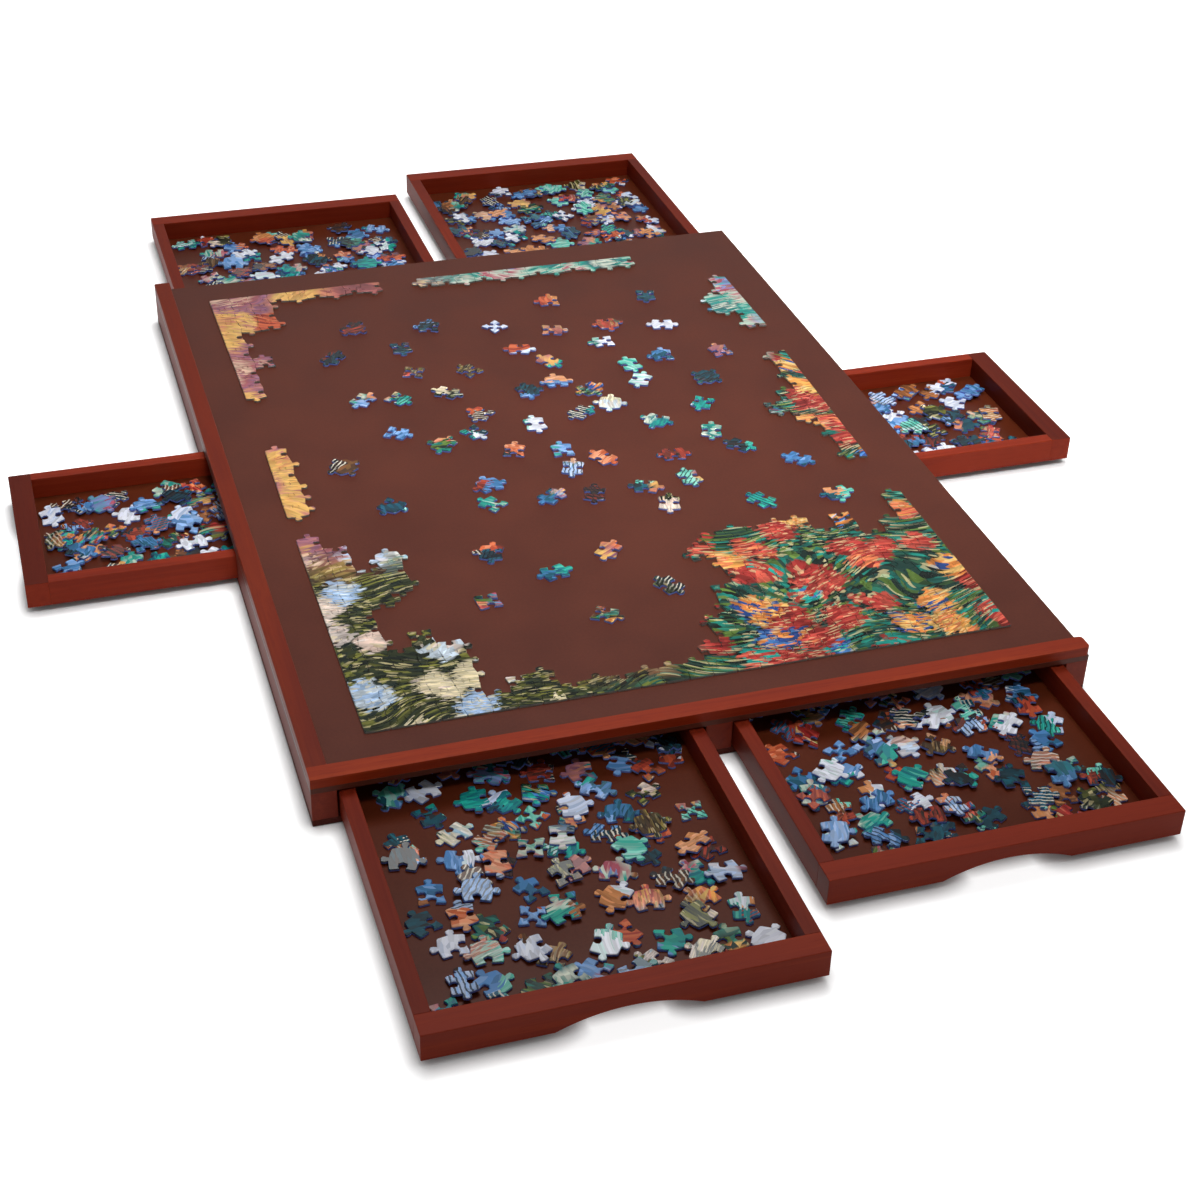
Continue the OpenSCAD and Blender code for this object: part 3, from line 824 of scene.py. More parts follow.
@dataclass
class PuzzleCut:
    """The die that cuts the picture: a grid of interlocking pieces, each shape made once."""

    columns: int = PUZZLE_COLUMNS
    rows: int = PUZZLE_ROWS
    pitch_mm: float = PITCH_MM
    card_mm: float = 2.0
    edge_round_mm: float = 0.5
    cut_gap_mm: float = 0.06
    stray_share: float = 0.25
    seed: int = 41
    shapes: dict = field(default_factory=dict)

    def __post_init__(self) -> None:
        """Set which way each knob of the grid stands, so that most pieces have two facing knobs."""
        draw = random.Random(self.seed)
        self.across = {(c, r): self._bulge(c + r, draw) if 0 < r < self.rows else Bulge.NONE
                       for c in range(self.columns) for r in range(self.rows + 1)}
        self.upright = {(c, r): self._bulge(c + r, draw) if 0 < c < self.columns else Bulge.NONE
                        for c in range(self.columns + 1) for r in range(self.rows)}
        self.collection = bpy.data.collections.new("cut_shapes")

    def _bulge(self, count: int, draw: random.Random) -> Bulge:
        """Choose a line's bulge. Returns: left and right in turn, with a share of strays."""
        stray = draw.random() < self.stray_share
        return Bulge.RIGHT if (count % 2 == 1) != stray else Bulge.LEFT

    def shape_of(self, column: int, row: int) -> int:
        """Find a piece's shape and make it when it is new.

        Args:
            column: the piece's column, from the left.
            row: the piece's row, from the bottom.

        Returns:
            The shape's number in the collection.
        """
        kind = (column + 2 * row) % len(KNOBS)
        key = (kind, self.across[column, row], self.upright[column + 1, row],
               self.across[column, row + 1], self.upright[column, row])
        if key not in self.shapes:
            self.shapes[key] = (len(self.shapes), self._outline(*key))
            self._make_shape(*self.shapes[key])
        return self.shapes[key][0]

    def outline_of(self, column: int, row: int) -> np.ndarray:
        """Give a piece's outline. Returns: its points in shares of the pitch, about its middle."""
        number = self.shape_of(column, row)
        return next(outline for n, outline in self.shapes.values() if n == number)

    def home(self, column: int, row: int) -> Point:
        """Give a piece's place in the picture. Returns: the middle of its cell, in metres."""
        pitch = self.pitch_mm * MM
        return (column + 0.5) * pitch, (row + 0.5) * pitch, 0.0

    def _outline(self, kind: int, bottom: Bulge, right: Bulge, top: Bulge,
                 left: Bulge) -> np.ndarray:
        """Join four cut lines into a piece's outline.

        Args:
            kind: the number of the piece's knob forms.
            bottom, right, top, left: the side to which each line's knob stands.

        Returns:
            The outline's points, anticlockwise.
        """
        lower, near, beyond = [KNOBS[(kind + i) % len(KNOBS)] for i in range(3)]
        base, side = lower.line(bottom), beyond.line(right)
        over, back = beyond.line(top)[::-1], near.line(left)[::-1]
        return np.vstack([base + (-0.5, -0.5),
                          np.stack([0.5 - side[:, 1], side[:, 0] - 0.5], 1),
                          over + (-0.5, 0.5),
                          np.stack([-0.5 - back[:, 1], back[:, 0] - 0.5], 1)])

    @staticmethod
    def inset(outline: np.ndarray, depth: float) -> np.ndarray:
        """Move an outline inwards.

        Args:
            outline: its points, anticlockwise.
            depth: how far, in the outline's own unit.

        Returns:
            The moved points.
        """
        ahead = np.roll(outline, -1, 0) - outline
        ahead /= np.linalg.norm(ahead, axis=1, keepdims=True)
        way = ahead + np.roll(ahead, 1, 0)
        way /= np.linalg.norm(way, axis=1, keepdims=True)
        return outline + depth * np.stack([-way[:, 1], way[:, 0]], 1)

    def _make_shape(self, number: int, outline: np.ndarray) -> None:
        """Make one piece with a pitch and a thickness of 1, for the node tree to size.

        Args:
            number: its number in the collection.
            outline: its outline.
        """
        cut = self.inset(outline, self.cut_gap_mm / self.pitch_mm)
        flat = self.inset(cut, self.edge_round_mm / self.pitch_mm)
        shoulder = 1 - self.edge_round_mm / self.card_mm
        rings = [(cut, 0.0), (cut, shoulder), (flat, 1.0)]
        shape = bmesh.new()
        rows = [[shape.verts.new((x, y, z)) for x, y in ring] for ring, z in rings]
        printed = shape.faces.layers.bool.new("printed")
        shape.faces.new(rows[0][::-1])
        for below, above in zip(rows, rows[1:]):
            for i, start in enumerate(below):
                j = (i + 1) % len(below)
                shape.faces.new((start, below[j], above[j], above[i]))[printed] = above is rows[2]
        shape.faces.new(rows[2])[printed] = True
        mesh = bpy.data.meshes.new(f"cut_{number:03d}")
        shape.to_mesh(mesh)
        shape.free()
        places = np.empty(len(mesh.vertices) * 3, np.float32)
        mesh.vertices.foreach_get("co", places)
        mesh.attributes.new("cut_xy", "FLOAT_VECTOR", "POINT").data.foreach_set("vector", places)
        self.collection.objects.link(bpy.data.objects.new(mesh.name, mesh))

    def clear_away(self) -> None:
        """Delete the loose shapes once every piece is laid."""
        for item in list(self.collection.objects):
            bpy.data.objects.remove(item)
        bpy.data.collections.remove(self.collection)


@dataclass(frozen=True)
class LaidPiece:
    """A puzzle piece and where it lies: its cell, its place in metres and its turn."""

    column: int
    row: int
    place: Point
    turn: Matrix


class PieceLayer:
    """Lays puzzle pieces out with a node tree and keeps the result as one mesh."""

    STORED = {"cut": "INT", "turn": "FLOAT_VECTOR", "home": "FLOAT_VECTOR",
              "cut_xy": "FLOAT_VECTOR", "printed": "BOOLEAN"}

    def __init__(self, cut: PuzzleCut) -> None:
        """Build the tree. Args: cut: the die that the pieces come from."""
        self.cut = cut
        self.tree = self._build_tree()

    def _build_tree(self) -> Tree:
        """Make the tree that puts a cut shape on each point and finds its place in the picture.

        Returns:
            The tree, with named inputs for the shapes, the sizes and the two finishes.
        """
        tree = bpy.data.node_groups.new("lay_puzzle_pieces", "GeometryNodeTree")
        sockets = (("Places", "INPUT", "NodeSocketGeometry"),
                   ("Cut shapes", "INPUT", "NodeSocketCollection"),
                   ("Pitch", "INPUT", "NodeSocketFloat"),
                   ("Card thickness", "INPUT", "NodeSocketFloat"),
                   ("Print", "INPUT", "NodeSocketMaterial"),
                   ("Core", "INPUT", "NodeSocketMaterial"),
                   ("Pieces", "OUTPUT", "NodeSocketGeometry"))
        for name, way, kind in sockets:
            tree.interface.new_socket(name, in_out=way, socket_type=kind)
        given = add_node(tree, "NodeGroupInput").outputs
        shapes = add_node(tree, "GeometryNodeCollectionInfo", {
            "Separate Children": True, "Reset Children": True},
            {"Collection": given["Cut shapes"]})
        number, turn, home, local, faced = [
            add_node(tree, "GeometryNodeInputNamedAttribute", {
                "data_type": kind, "Name": name}).outputs["Attribute"]
            for name, kind in self.STORED.items()]
        turned = add_node(tree, "FunctionNodeEulerToRotation", links={"Euler": turn})
        size = add_node(tree, "ShaderNodeCombineXYZ", links={
            "X": given["Pitch"], "Y": given["Pitch"], "Z": given["Card thickness"]})
        laid = add_node(tree, "GeometryNodeInstanceOnPoints", {"Pick Instance": True}, {
            "Points": given["Places"], "Instance": shapes.outputs["Instances"],
            "Instance Index": number,
            "Rotation": turned.outputs["Rotation"], "Scale": size.outputs["Vector"]})
        real = add_node(tree, "GeometryNodeRealizeInstances",
                        links={"Geometry": laid.outputs["Instances"]})
        spread = add_node(tree, "ShaderNodeVectorMath", {"operation": "SCALE"}, {
            0: local, "Scale": given["Pitch"]})
        there = add_node(tree, "ShaderNodeVectorMath", {"operation": "ADD"}, {
            0: home, 1: spread.outputs["Vector"]})
        mapped = add_node(tree, "GeometryNodeStoreNamedAttribute", {
            "data_type": "FLOAT_VECTOR", "domain": "POINT", "Name": "print_at"}, {
            "Geometry": real.outputs["Geometry"], "Value": there.outputs["Vector"]})
        cored = add_node(tree, "GeometryNodeSetMaterial", links={
            "Geometry": mapped.outputs["Geometry"], "Material": given["Core"]})
        printed = add_node(tree, "GeometryNodeSetMaterial", links={
            "Geometry": cored.outputs["Geometry"], "Material": given["Print"],
            "Selection": faced})
        add_node(tree, "NodeGroupOutput", links={0: printed.outputs["Geometry"]})
        return tree

    def lay(self, name: str, pieces: list[LaidPiece], body: str, face: Material,
            core: Material) -> bpy.types.Object:
        """Lay pieces out as one object.

        Args:
            name: the object's name.
            pieces: the pieces and their places.
            body: the body that carries them.
            face: the finish of the printed faces.
            core: the finish of the cut edges and backs.

        Returns:
            The object, with its modifier gone.
        """
        points = bpy.data.meshes.new(f"{name}_places")
        points.from_pydata([piece.place for piece in pieces], [], [])
        numbers = [self.cut.shape_of(piece.column, piece.row) for piece in pieces]
        turns = [angle for piece in pieces for angle in piece.turn.to_euler()]
        homes = [x for piece in pieces for x in self.cut.home(piece.column, piece.row)]
        for key, unit, given in (("cut", "value", numbers), ("turn", "vector", turns),
                                 ("home", "vector", homes)):
            points.attributes.new(key, self.STORED[key], "POINT").data.foreach_set(unit, given)
        layer = bpy.data.objects.new(name, points)
        bpy.context.scene.collection.objects.link(layer)
        modifier = layer.modifiers.new("laid", "NODES")
        modifier.node_group = self.tree
        values = {"Cut shapes": self.cut.collection, "Pitch": self.cut.pitch_mm * MM,
                  "Card thickness": self.cut.card_mm * MM, "Print": face, "Core": core}
        for item in self.tree.interface.items_tree:
            if item.name in values:
                modifier[item.identifier] = values[item.name]
        graph = bpy.context.evaluated_depsgraph_get()
        mesh = bpy.data.meshes.new_from_object(layer.evaluated_get(graph), depsgraph=graph,
                                               preserve_all_data_layers=True)
        layer.modifiers.remove(modifier)
        layer.data = mesh
        bpy.data.meshes.remove(points)
        mesh.name = name
        for spare in self.STORED:
            if spare in mesh.attributes:
                mesh.attributes.remove(mesh.attributes[spare])
        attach(layer, body)
        LOG.info("%s: %d pieces on %s, %d faces", name, len(pieces), body, len(mesh.polygons))
        return layer


class Heap:
    """Drops puzzle pieces on a flat floor so that each rests on what already lies there.

    The heap is kept as a map of heights on a 1 mm grid. A dropped piece takes the tilt at which
    its middle lies lowest, so it rests on three points round its middle and cuts through nothing.
    """

    CELL_MM = 1.0
    SAMPLE_MM = 0.7
    WALL_CLEAR_MM = 0.8
    CLEAR_MM = 0.08
    STEEPEST = 0.45
    SLOPES = 13
    ROUNDS = 4
    NARROWING = 5

    def __init__(self, low: Point, high: Point, floor: float, cut: PuzzleCut, seed: str) -> None:
        """Start with a bare floor.

        Args:
            low, high: the floor's lowest and highest corner, in metres.
            floor: the height of its top, in metres.
            cut: the die that the pieces come from.
            seed: the word that the random draws start from.
        """
        self.low = np.array(low[:2]) / MM
        self.size = np.array(high[:2]) / MM - self.low
        self.floor = floor
        self.cut = cut
        self.draw = random.Random(seed)
        self.heights = np.zeros((self.size / self.CELL_MM).astype(int) + 1)
        self.samples: dict[int, np.ndarray] = {}

    def drop(self, column: int, row: int, tries: int, ceiling_mm: float) -> LaidPiece | None:
        """Drop one piece where it lies lowest out of a few random spots.

        Args:
            column, row: the piece's cell in the picture.
            tries: how many spots are tried.
            ceiling_mm: the greatest height of its middle above the floor.

        Returns:
            The piece as it lies, or None where every spot is too high.
        """
        best = None
        for _ in range(tries):
            turn = self.draw.uniform(0, 2 * math.pi)
            shape = self._sampled(column, row) @ np.array(Matrix.Rotation(turn, 2)).T
            reach = np.abs(shape).max(0) + self.WALL_CLEAR_MM
            middle = np.array([self.draw.uniform(r, s - r) for r, s in zip(reach, self.size)])
            cells = np.unique(((shape + middle) / self.CELL_MM).astype(int), axis=0)
            away = (cells + 0.5) * self.CELL_MM - middle
            tilt, height = self._settle(away, self.heights[tuple(cells.T)])
            if best is None or height < best[0]:
                best = (height, tilt, turn, middle, cells, away)
        height, tilt, turn, middle, cells, away = best
        if height > ceiling_mm:
            return None
        top = away @ tilt + height + self.cut.card_mm + np.abs(tilt).sum() * self.CELL_MM / 2
        self.heights[tuple(cells.T)] = top
        lean = Vector((0, 0, 1)).rotation_difference(Vector((-tilt[0], -tilt[1], 1)))
        x, y = (self.low + middle) * MM
        return LaidPiece(column, row, (x, y, self.floor + (height + self.CLEAR_MM) * MM),
                         lean.to_matrix() @ Matrix.Rotation(turn, 3, "Z"))

    def _sampled(self, column: int, row: int) -> np.ndarray:
        """Cover a piece's shape with points.

        Args:
            column, row: the piece's cell in the picture.

        Returns:
            Points less than a grid cell apart, in mm, its outline's points among them.
        """
        number = self.cut.shape_of(column, row)
        if number not in self.samples:
            outline = self.cut.outline_of(column, row) * self.cut.pitch_mm
            reach = np.arange(-self.cut.pitch_mm, self.cut.pitch_mm, self.SAMPLE_MM)
            spots = np.stack(np.meshgrid(reach, reach), -1).reshape(-1, 2)
            inside = np.zeros(len(spots), bool)
            for a, b in zip(outline, np.roll(outline, -1, 0)):
                crosses = (a[1] > spots[:, 1]) != (b[1] > spots[:, 1])
                rise = b[1] - a[1] if b[1] != a[1] else 1.0
                inside ^= crosses & (spots[:, 0] < a[0] + (spots[:, 1] - a[1])
                                     * (b[0] - a[0]) / rise)
            self.samples[number] = np.vstack([spots[inside], outline])
        return self.samples[number]

    def _settle(self, away: np.ndarray, under: np.ndarray) -> tuple[np.ndarray, float]:
        """Find the tilt at which a piece's middle lies lowest on what is under it.

        Args:
            away: the places of its cells from its middle, in mm.
            under: the height under each cell, in mm.

        Returns:
            The slopes along X and Y, and the height of its middle in mm.
        """
        if under.max() == 0:
            return np.zeros(2), 0.0
        tilt, reach = np.zeros(2), self.STEEPEST
        for _ in range(self.ROUNDS):
            steps = np.linspace(-reach, reach, self.SLOPES)
            slopes = np.stack(np.meshgrid(steps, steps), -1).reshape(-1, 2) + tilt
            slopes = np.clip(slopes, -self.STEEPEST, self.STEEPEST)
            middles = (under[None] - slopes @ away.T).max(1)
            tilt = slopes[middles.argmin()]
            reach /= self.NARROWING
        return tilt, float(middles.min())


@dataclass(frozen=True)
class JoinedSection:
    """A joined stretch of the puzzle: blocks of cells, and how far it lies from its true place."""

    name: str
    blocks: tuple[tuple[int, int, int, int], ...]
    shift_mm: tuple[float, float] = (0.0, 0.0)
    turn_degrees: float = 0.0

    def cells(self) -> set[tuple[int, int]]:
        """List its cells. Returns: each column and row; a block is first and last of both."""
        return {(c, r) for c0, c1, r0, r1 in self.blocks
                for c in range(c0, c1 + 1) for r in range(r0, r1 + 1)}


SECTIONS = (
    JoinedSection("joined_far_left_corner", ((0, 2, 34, 37), (3, 8, 37, 37), (0, 0, 27, 33),
                                             (1, 1, 30, 30)), (-0.5, 1.0), 0.5),
    JoinedSection("joined_far_edge", ((11, 22, 37, 37),), (-1.0, -1.0), -0.4),
    JoinedSection("joined_far_right_edge", ((26, 26, 28, 33), (25, 25, 30, 31)), (3.0, 3.0), 1.0),
    JoinedSection("joined_right_edge", ((26, 26, 14, 24), (25, 25, 18, 20), (24, 24, 19, 19)),
                  (-1.0, 6.0), -1.0),
    JoinedSection("joined_left_edge", ((0, 0, 16, 21),), (0.0, -2.0), -0.6),
    JoinedSection("joined_near_chunks", (
        (0, 0, 0, 13), (1, 1, 0, 12), (2, 2, 0, 4), (2, 2, 8, 10), (3, 3, 0, 5), (3, 3, 9, 11),
        (4, 4, 0, 4), (5, 13, 0, 0), (6, 7, 1, 1), (14, 26, 0, 1), (15, 26, 2, 3), (16, 26, 4, 5),
        (17, 26, 6, 7), (16, 23, 8, 8), (17, 21, 9, 9), (23, 23, 9, 9), (25, 26, 8, 8),
        (26, 26, 9, 10)), (0.0, 0.0), 0.0),
)

# Where the loose pieces lie on the panel, read off the photograph to 5 mm.
LOOSE_ON_PANEL_MM = (
    (70, 275), (165, 265), (-125, 265), (-55, 250), (5, 235), (110, 215), (-90, 215), (55, 215),
    (-155, 210), (160, 200), (15, 185), (95, 180), (-90, 165), (35, 155), (-40, 155), (140, 140),
    (195, 135), (105, 130), (105, 100), (-70, 120), (-145, 125), (-115, 120), (0, 105), (30, 115),
    (55, 95), (165, 90), (-50, 75), (-130, 60), (35, 55), (65, 65), (-10, 45), (145, 45),
    (-95, 30), (-65, 45), (95, 25), (-185, 15), (-40, 5), (0, -5), (0, -35), (135, -5), (30, -25),
    (90, -35), (150, -35), (-75, -45), (-80, -75), (-160, -55), (190, -70), (90, -75), (-30, -75),
    (50, -80), (60, -110), (5, -80), (135, -125), (200, -130), (-100, -145), (-10, -165),
    (-60, -185), (-120, -210), (20, -225), (-40, -250))


@dataclass
class PlayBoard:
    """The board itself: panel, rim strips, frame and base, with the puzzle that lies on it."""

    layer: PieceLayer
    body: str = "board"
    panel: str = "top_panel"
    puzzle_corner_mm: tuple[float, float] = (-244.5, -345.0)
    lift_mm: float = 0.06
    rim_arris_mm: float = 0.7
    # Painted shade: darkens the left rim's long faces, its top among them, and the front rim's ends.
    left_rim_painted_shade: float = 0.62
    seed: int = 8

    def build_boards(self) -> None:
        """Dress the panel, the rim strips, the frame and the base."""
        rim, timber = RIM_WOOD.build(), FRAME_WOOD.build()
        WoodPart(self.panel, self.body, "panel_stain", PANEL_BOARD.build()).build()
        WoodPart("base_board", self.body, "base_board_stain", BASE_BOARD.build()).build()
        for strip in ("front_rim", "left_rim"):
            WoodPart(strip, self.body, "rim_stain", rim, self.rim_arris_mm, strip == "left_rim",
                     lengthwise_painted_shade=self.left_rim_painted_shade).build()
        rails = [f"{side}_{end}_rail" for side in ("left", "right") for end in ("front", "back")]
        inner = ["front_divider", "back_divider", "front_cross_rail", "back_cross_rail", "spine"]
        for board in rails + inner:
            WoodPart(board, self.body, "frame_stain", timber).build()

    def build_puzzle(self, loose: list[tuple[int, int]], face: Material,
                     blue: Material) -> None:
        """Lay the joined sections and the loose pieces on the panel.

        Args:
            loose: the cells that aren't joined, shuffled; those used are taken off its end.
            face: the finish of the printed faces.
            blue: the finish of the loose pieces' cut edges.
        """
        grey = JOINED_CORE.build()
        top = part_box(self.panel)[1].z + self.lift_mm * MM
        corner = Vector((*self.puzzle_corner_mm, 0)) * MM
        for section in SECTIONS:
            cells = sorted(section.cells())
            homes = [Vector(self.layer.cut.home(*cell)) for cell in cells]
            middle = sum(homes, Vector()) / len(homes)
            turn = Matrix.Rotation(math.radians(section.turn_degrees), 3, "Z")
            shift = Vector((*section.shift_mm, 0)) * MM
            places = [corner + shift + middle + turn @ (home - middle) for home in homes]
            pieces = [LaidPiece(*cell, (place.x, place.y, top), turn)
                      for cell, place in zip(cells, places)]
            self.layer.lay(section.name, pieces, self.body, face, grey)
        draw = random.Random(self.seed)
        pieces = []
        for x, y in LOOSE_ON_PANEL_MM:
            turn = Matrix.Rotation(draw.uniform(0, 2 * math.pi), 3, "Z")
            pieces.append(LaidPiece(*loose.pop(), (x * MM, y * MM, top), turn))
        self.layer.lay("loose_pieces_on_panel", pieces, self.body, face, blue)


SIDE_DRAWERS = ("left_drawer", "right_drawer")


@dataclass
class Drawer:
    """One drawer: four walls, a thin floor and the puzzle pieces sorted into it."""

    name: str
    layer: PieceLayer
    wood: Material
    floor: Material
    face: Material
    core: Material
    count: int
    tries: int = 8
    ceiling_mm: float = 5.4
    floor_arris_mm: float = 0.3
    # Painted shade: the long faces of the side drawers' front boards, their tops among them, are
    # darkened by this factor.
    side_front_painted_shade: float = 0.43

    def build_boards(self) -> None:
        """Dress the walls and the floor."""
        for wall in ("front", "left_side", "right_side", "back"):
            board = WoodPart(f"{self.name}_{wall}", self.name, "drawer_stain", self.wood,
                             butt_ends=wall.endswith("side"))
            if wall == "front" and self.name in SIDE_DRAWERS:
                board.lengthwise_painted_shade = self.side_front_painted_shade
            board.build()
        WoodPart(f"{self.name}_floor", self.name, "drawer_floor_stain", self.floor,
                 self.floor_arris_mm).build()

    def inside(self) -> tuple[list[float], list[float], float]:
        """Measure the space between the walls. Returns: its low and high corner and floor height."""
        walls = [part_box(f"{self.name}_{w}") for w in ("front", "left_side", "right_side", "back")]
        low, high = [], []
        for axis in (0, 1):
            thin = sorted(walls, key=lambda box: box[1][axis] - box[0][axis])[:2]
            first, last = sorted(thin, key=lambda box: box[0][axis])
            low.append(first[1][axis])
            high.append(last[0][axis])
        return low, high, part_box(f"{self.name}_floor")[1].z

    def fill(self, loose: list[tuple[int, int]]) -> None:
        """Drop its puzzle pieces in.

        Args:
            loose: the cells that aren't joined, shuffled; those used are taken off its end.
        """
        heap = Heap(*self.inside(), self.layer.cut, self.name)
        dropped = [heap.drop(*loose.pop(), self.tries, self.ceiling_mm)
                   for _ in range(self.count)]
        pieces = [piece for piece in dropped if piece]
        self.layer.lay(f"{self.name}_pieces", pieces, self.name, self.face, self.core)


@dataclass(frozen=True)
class Softbox:
    """A rectangular softbox; a spread under 180 degrees stands for the grid on its front."""

    name: str
    place_m: Point
    aim_m: Point
    size_m: tuple[float, float]
    watts: float
    spread_degrees: float = 180.0

    def build(self) -> None:
        """Hang the softbox."""
        light = bpy.data.lights.new(self.name, "AREA")
        light.shape = "RECTANGLE"
        light.size, light.size_y = self.size_m
        light.energy = self.watts
        light.spread = math.radians(self.spread_degrees)
        lamp = bpy.data.objects.new(self.name, light)
        bpy.context.scene.collection.objects.link(lamp)
        lamp.location = self.place_m
        way = Vector(self.aim_m) - Vector(self.place_m)
        lamp.rotation_euler = way.to_track_quat("-Z", "Y").to_euler()


@dataclass(frozen=True)
class Studio:
    """The white set: floor, soft light and the camera that stands where the photograph was taken."""

    camera_m: Point = (-0.4537, -1.4735, 0.9183)
    aim_m: Point = (-0.0380, -0.2318, 0.0350)
    roll_degrees: float = 1.83
    lens_mm: float = 62.26
    sensor_mm: float = 36.0
    floor_m: float = 12.0
    floor_drop_m: float = 0.0005
    floor_glow: Span = (0.8, 1.0)
    glow_from_m: Span = (0.55, 1.1)
    paper: tuple[tuple[float, str], ...] = ((0.3, "#e2e2e2"), (0.7, "#e6e6e6"))
    paper_cloud_mm: float = 40.0
    # Painted contact shadow: how far ambient occlusion darkens the floor's glow, how steeply, and
    # with how many samples.
    painted_shadow_reach_m: float = 0.013
    painted_shadow_depth: float = 2.6
    painted_shadow_samples: int = 8
    fill: float = 0.16
    walls: float = 0.8
    wall_top_degrees: Span = (12.0, 38.0)
    ceiling: float = 0.096
    window: float = 1.2
    window_way: Point = (0.1, -0.62, 0.78)
    window_degrees: Span = (26.0, 16.0)
    softboxes: tuple[Softbox, ...] = (
        Softbox("overhead_softbox", (0.28, 0.6, 2.2), (0.18, 0.0, 0.0), (1.2, 0.9), 25.0),
        Softbox("gridded_softbox", (0.1, -0.95, 1.8), (0.12, 0.03, 0.0), (1.0, 0.4), 1.9, 34.0))

    def build(self) -> None:
        """Put up the floor, the lights and the camera."""
        self._build_floor()
        self._build_world()
        for softbox in self.softboxes:
            softbox.build()
        self._build_camera()
        bpy.context.scene.view_settings.view_transform = "Standard"

    def _build_floor(self) -> None:
        """Lay the floor, white to the camera, with a painted contact shadow from ambient occlusion
        on its glow; the paper under the glow holds the real shadow.
        """
        mesh = bpy.data.meshes.new("studio_floor")
        half, low = self.floor_m / 2, -self.floor_drop_m
        mesh.from_pydata([(-half, -half, low), (half, -half, low), (half, half, low),
                          (-half, half, low)], [], [(0, 1, 2, 3)])
        floor = bpy.data.objects.new("studio_floor", mesh)
        bpy.context.scene.collection.objects.link(floor)
        material, tree = new_material("white_paper_sweep")
        place = add_node(tree, "ShaderNodeTexCoord")
        cloud = add_node(tree, "ShaderNodeTexNoise", {"Scale": per_metre(self.paper_cloud_mm)[0]},
                         {"Vector": place.outputs["Object"]})
        tone = add_node(tree, "ShaderNodeValToRGB", {"stops": ("LINEAR", self.paper)},
                        {"Fac": cloud.outputs["Fac"]})
        paper = add_node(tree, "ShaderNodeBsdfDiffuse", links={"Color": tone.outputs["Color"]})
        seen = add_node(tree, "ShaderNodeLightPath")
        mirrored = add_node(tree, "ShaderNodeMath", {"operation": "ADD"}, {
            0: seen.outputs["Is Camera Ray"], 1: seen.outputs["Is Glossy Ray"]})
        shown = add_node(tree, "ShaderNodeMath", {"operation": "ADD", "use_clamp": True}, {
            0: mirrored.outputs["Value"], 1: seen.outputs["Is Transmission Ray"]})
        away = add_node(tree, "ShaderNodeVectorMath", {"operation": "LENGTH"},
                        {0: place.outputs["Object"]})
        rise = add_node(tree, "ShaderNodeMapRange", ramp(self.glow_from_m, self.floor_glow),
                        {"Value": away.outputs["Value"]})
        # Painted contact shadow: ambient occlusion next to the object darkens the glow.
        near = add_node(tree, "ShaderNodeAmbientOcclusion", {
            "samples": self.painted_shadow_samples, "Distance": self.painted_shadow_reach_m})
        painted_contact_shadow = add_node(tree, "ShaderNodeMath", {"operation": "POWER", 1: self.painted_shadow_depth},
                           {0: near.outputs["AO"]})
        glow_with_painted_shadow = add_node(tree, "ShaderNodeMath", {"operation": "MULTIPLY"}, {
            0: rise.outputs["Result"], 1: painted_contact_shadow.outputs["Value"]})
        level = add_node(tree, "ShaderNodeMath", {"operation": "MULTIPLY"}, {
            0: shown.outputs["Value"], 1: glow_with_painted_shadow.outputs["Value"]})
        glow = add_node(tree, "ShaderNodeEmission", links={"Strength": level.outputs["Value"]})
        both = add_node(tree, "ShaderNodeAddShader", links={
            0: paper.outputs["BSDF"], 1: glow.outputs["Emission"]})
        add_node(tree, "ShaderNodeOutputMaterial", links={"Surface": both.outputs["Shader"]})
        mesh.materials.append(material)

    def _build_world(self) -> None:
        """Give the room white walls, a dim ceiling and a window, and light it softly all round."""
        world = bpy.data.worlds.new("white_room")
        bpy.context.scene.world = world
        world.use_nodes = True
        tree = world.node_tree
        tree.nodes.clear()
        seen = add_node(tree, "ShaderNodeLightPath")
        way = add_node(tree, "ShaderNodeTexCoord")
        rise = add_node(tree, "ShaderNodeSeparateXYZ", links={0: way.outputs["Generated"]})
        heights = tuple(math.sin(math.radians(angle)) for angle in self.wall_top_degrees)
        walls = add_node(tree, "ShaderNodeMapRange", ramp(heights, (self.walls, self.ceiling)),
                         {"Value": rise.outputs["Z"]})
        to_window = add_node(tree, "ShaderNodeVectorMath", {
            "operation": "DOT_PRODUCT", 1: Vector(self.window_way).normalized()},
            {0: way.outputs["Generated"]})
        edges = tuple(math.cos(math.radians(angle)) for angle in self.window_degrees)
        window = add_node(tree, "ShaderNodeMapRange", ramp(edges, (0.0, self.window)),
                          {"Value": to_window.outputs["Value"]})
        room = add_node(tree, "ShaderNodeMath", {"operation": "ADD"}, {
            0: walls.outputs["Result"], 1: window.outputs["Result"]})
        mirrored = add_node(tree, "ShaderNodeMix", {2: self.fill}, {
            0: seen.outputs["Is Glossy Ray"], 3: room.outputs["Value"]})
        shown = add_node(tree, "ShaderNodeMath", {"operation": "ADD", "use_clamp": True}, {
            0: seen.outputs["Is Camera Ray"], 1: seen.outputs["Is Transmission Ray"]})
        level = add_node(tree, "ShaderNodeMix", {3: 1.0}, {
            0: shown.outputs["Value"], 2: mirrored.outputs[0]})
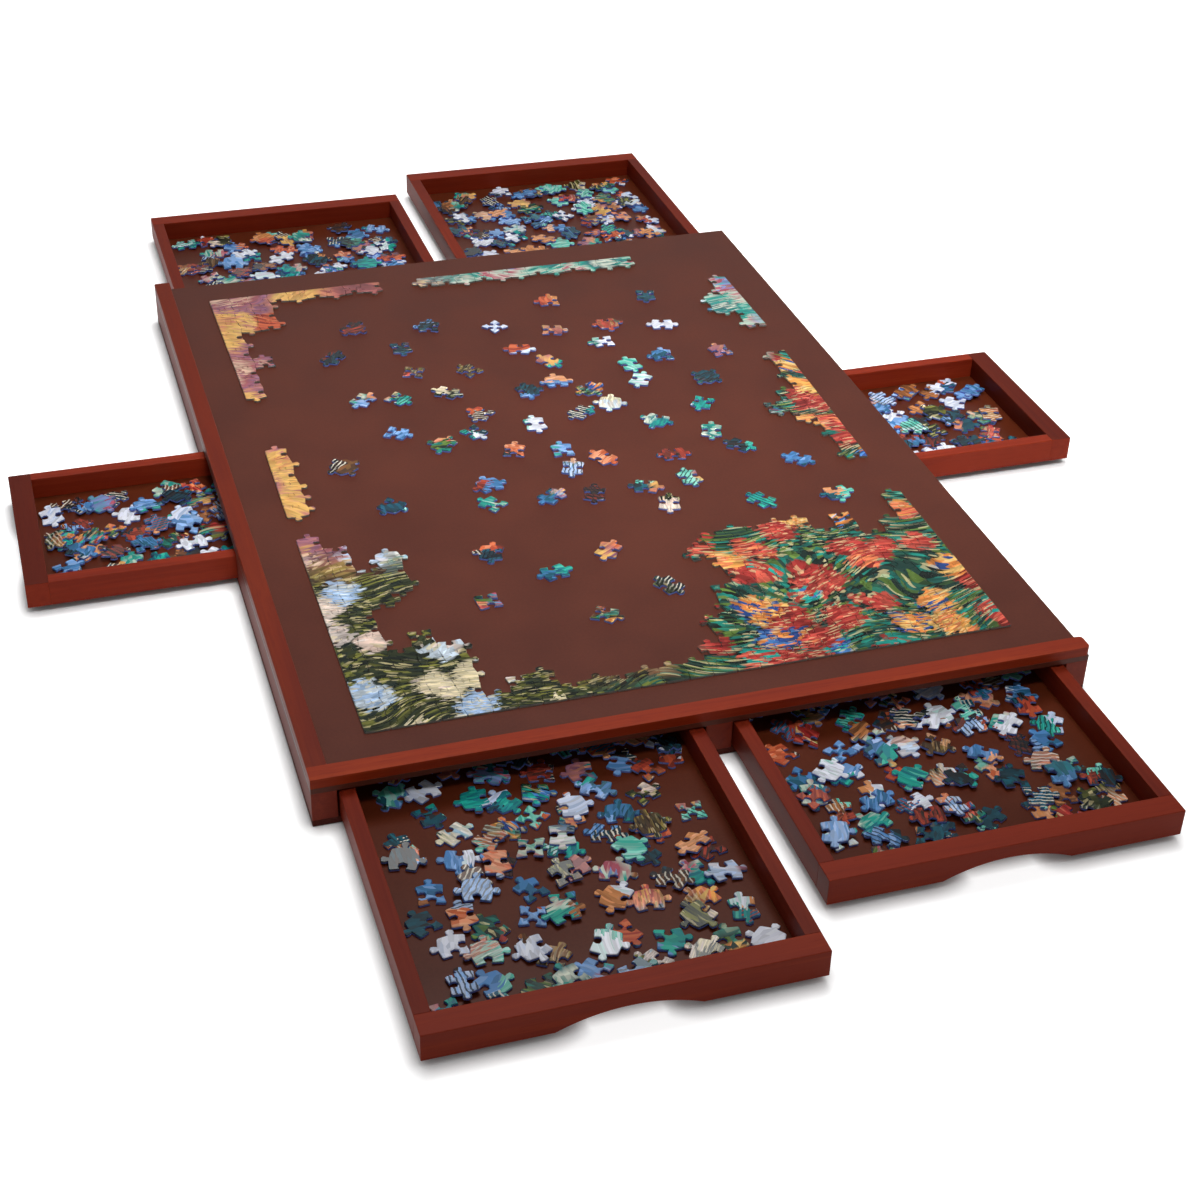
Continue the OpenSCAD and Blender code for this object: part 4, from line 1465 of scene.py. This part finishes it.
        back = add_node(tree, "ShaderNodeBackground", {"Color": linear("#ffffff")},
                        {"Strength": level.outputs[0]})
        add_node(tree, "ShaderNodeOutputWorld", links={"Surface": back.outputs["Background"]})

    def _build_camera(self) -> None:
        """Stand the camera at the photograph's viewing angle."""
        lens = bpy.data.cameras.new("camera")
        lens.lens = self.lens_mm
        lens.sensor_width = self.sensor_mm
        lens.sensor_fit = "HORIZONTAL"
        camera = bpy.data.objects.new("camera", lens)
        bpy.context.scene.collection.objects.link(camera)
        aim = (Vector(self.aim_m) - Vector(self.camera_m)).to_track_quat("-Z", "Y").to_matrix()
        roll = Matrix.Rotation(math.radians(self.roll_degrees), 3, "Z")
        camera.matrix_world = Matrix.Translation(self.camera_m) @ (aim @ roll).to_4x4()
        bpy.context.scene.camera = camera


DRAWER_COUNTS = {"front_left_drawer": 84, "front_right_drawer": 96, "back_left_drawer": 90,
                 "back_right_drawer": 90, "left_drawer": 62, "right_drawer": 62}


def dress_hidden_fixings() -> None:
    """Give the dowels and screws, which stay as solids, their own finish."""
    beech, zinc = DOWEL_BEECH.build(), SCREW_ZINC.build()
    for name, node in frame["nodes"].items():
        if name.endswith("_dowels") or name.endswith("_screws"):
            node.data.materials.clear()
            node.data.materials.append(zinc if name.endswith("_screws") else beech)
            LOG.info("%s: finish set", name)


def main() -> None:
    """Build every sub-assembly in order."""
    logging.basicConfig(level=logging.INFO, format="%(message)s")
    cut = PuzzleCut()
    layer = PieceLayer(cut)
    joined = set().union(*(section.cells() for section in SECTIONS))
    loose = [(c, r) for c in range(cut.columns) for r in range(cut.rows) if (c, r) not in joined]
    random.Random(cut.seed).shuffle(loose)
    board = PlayBoard(layer)
    board.build_boards()
    finishes = [finish.build() for finish in (DRAWER_WOOD, FLOOR_BOARD, PRINT, LOOSE_CORE)]
    board.build_puzzle(loose, *finishes[2:])
    for name, count in DRAWER_COUNTS.items():
        drawer = Drawer(name, layer, *finishes, count)
        drawer.build_boards()
        drawer.fill(loose)
    cut.clear_away()
    dress_hidden_fixings()
    Studio().build()


if __name__ == "__main__":
    main()
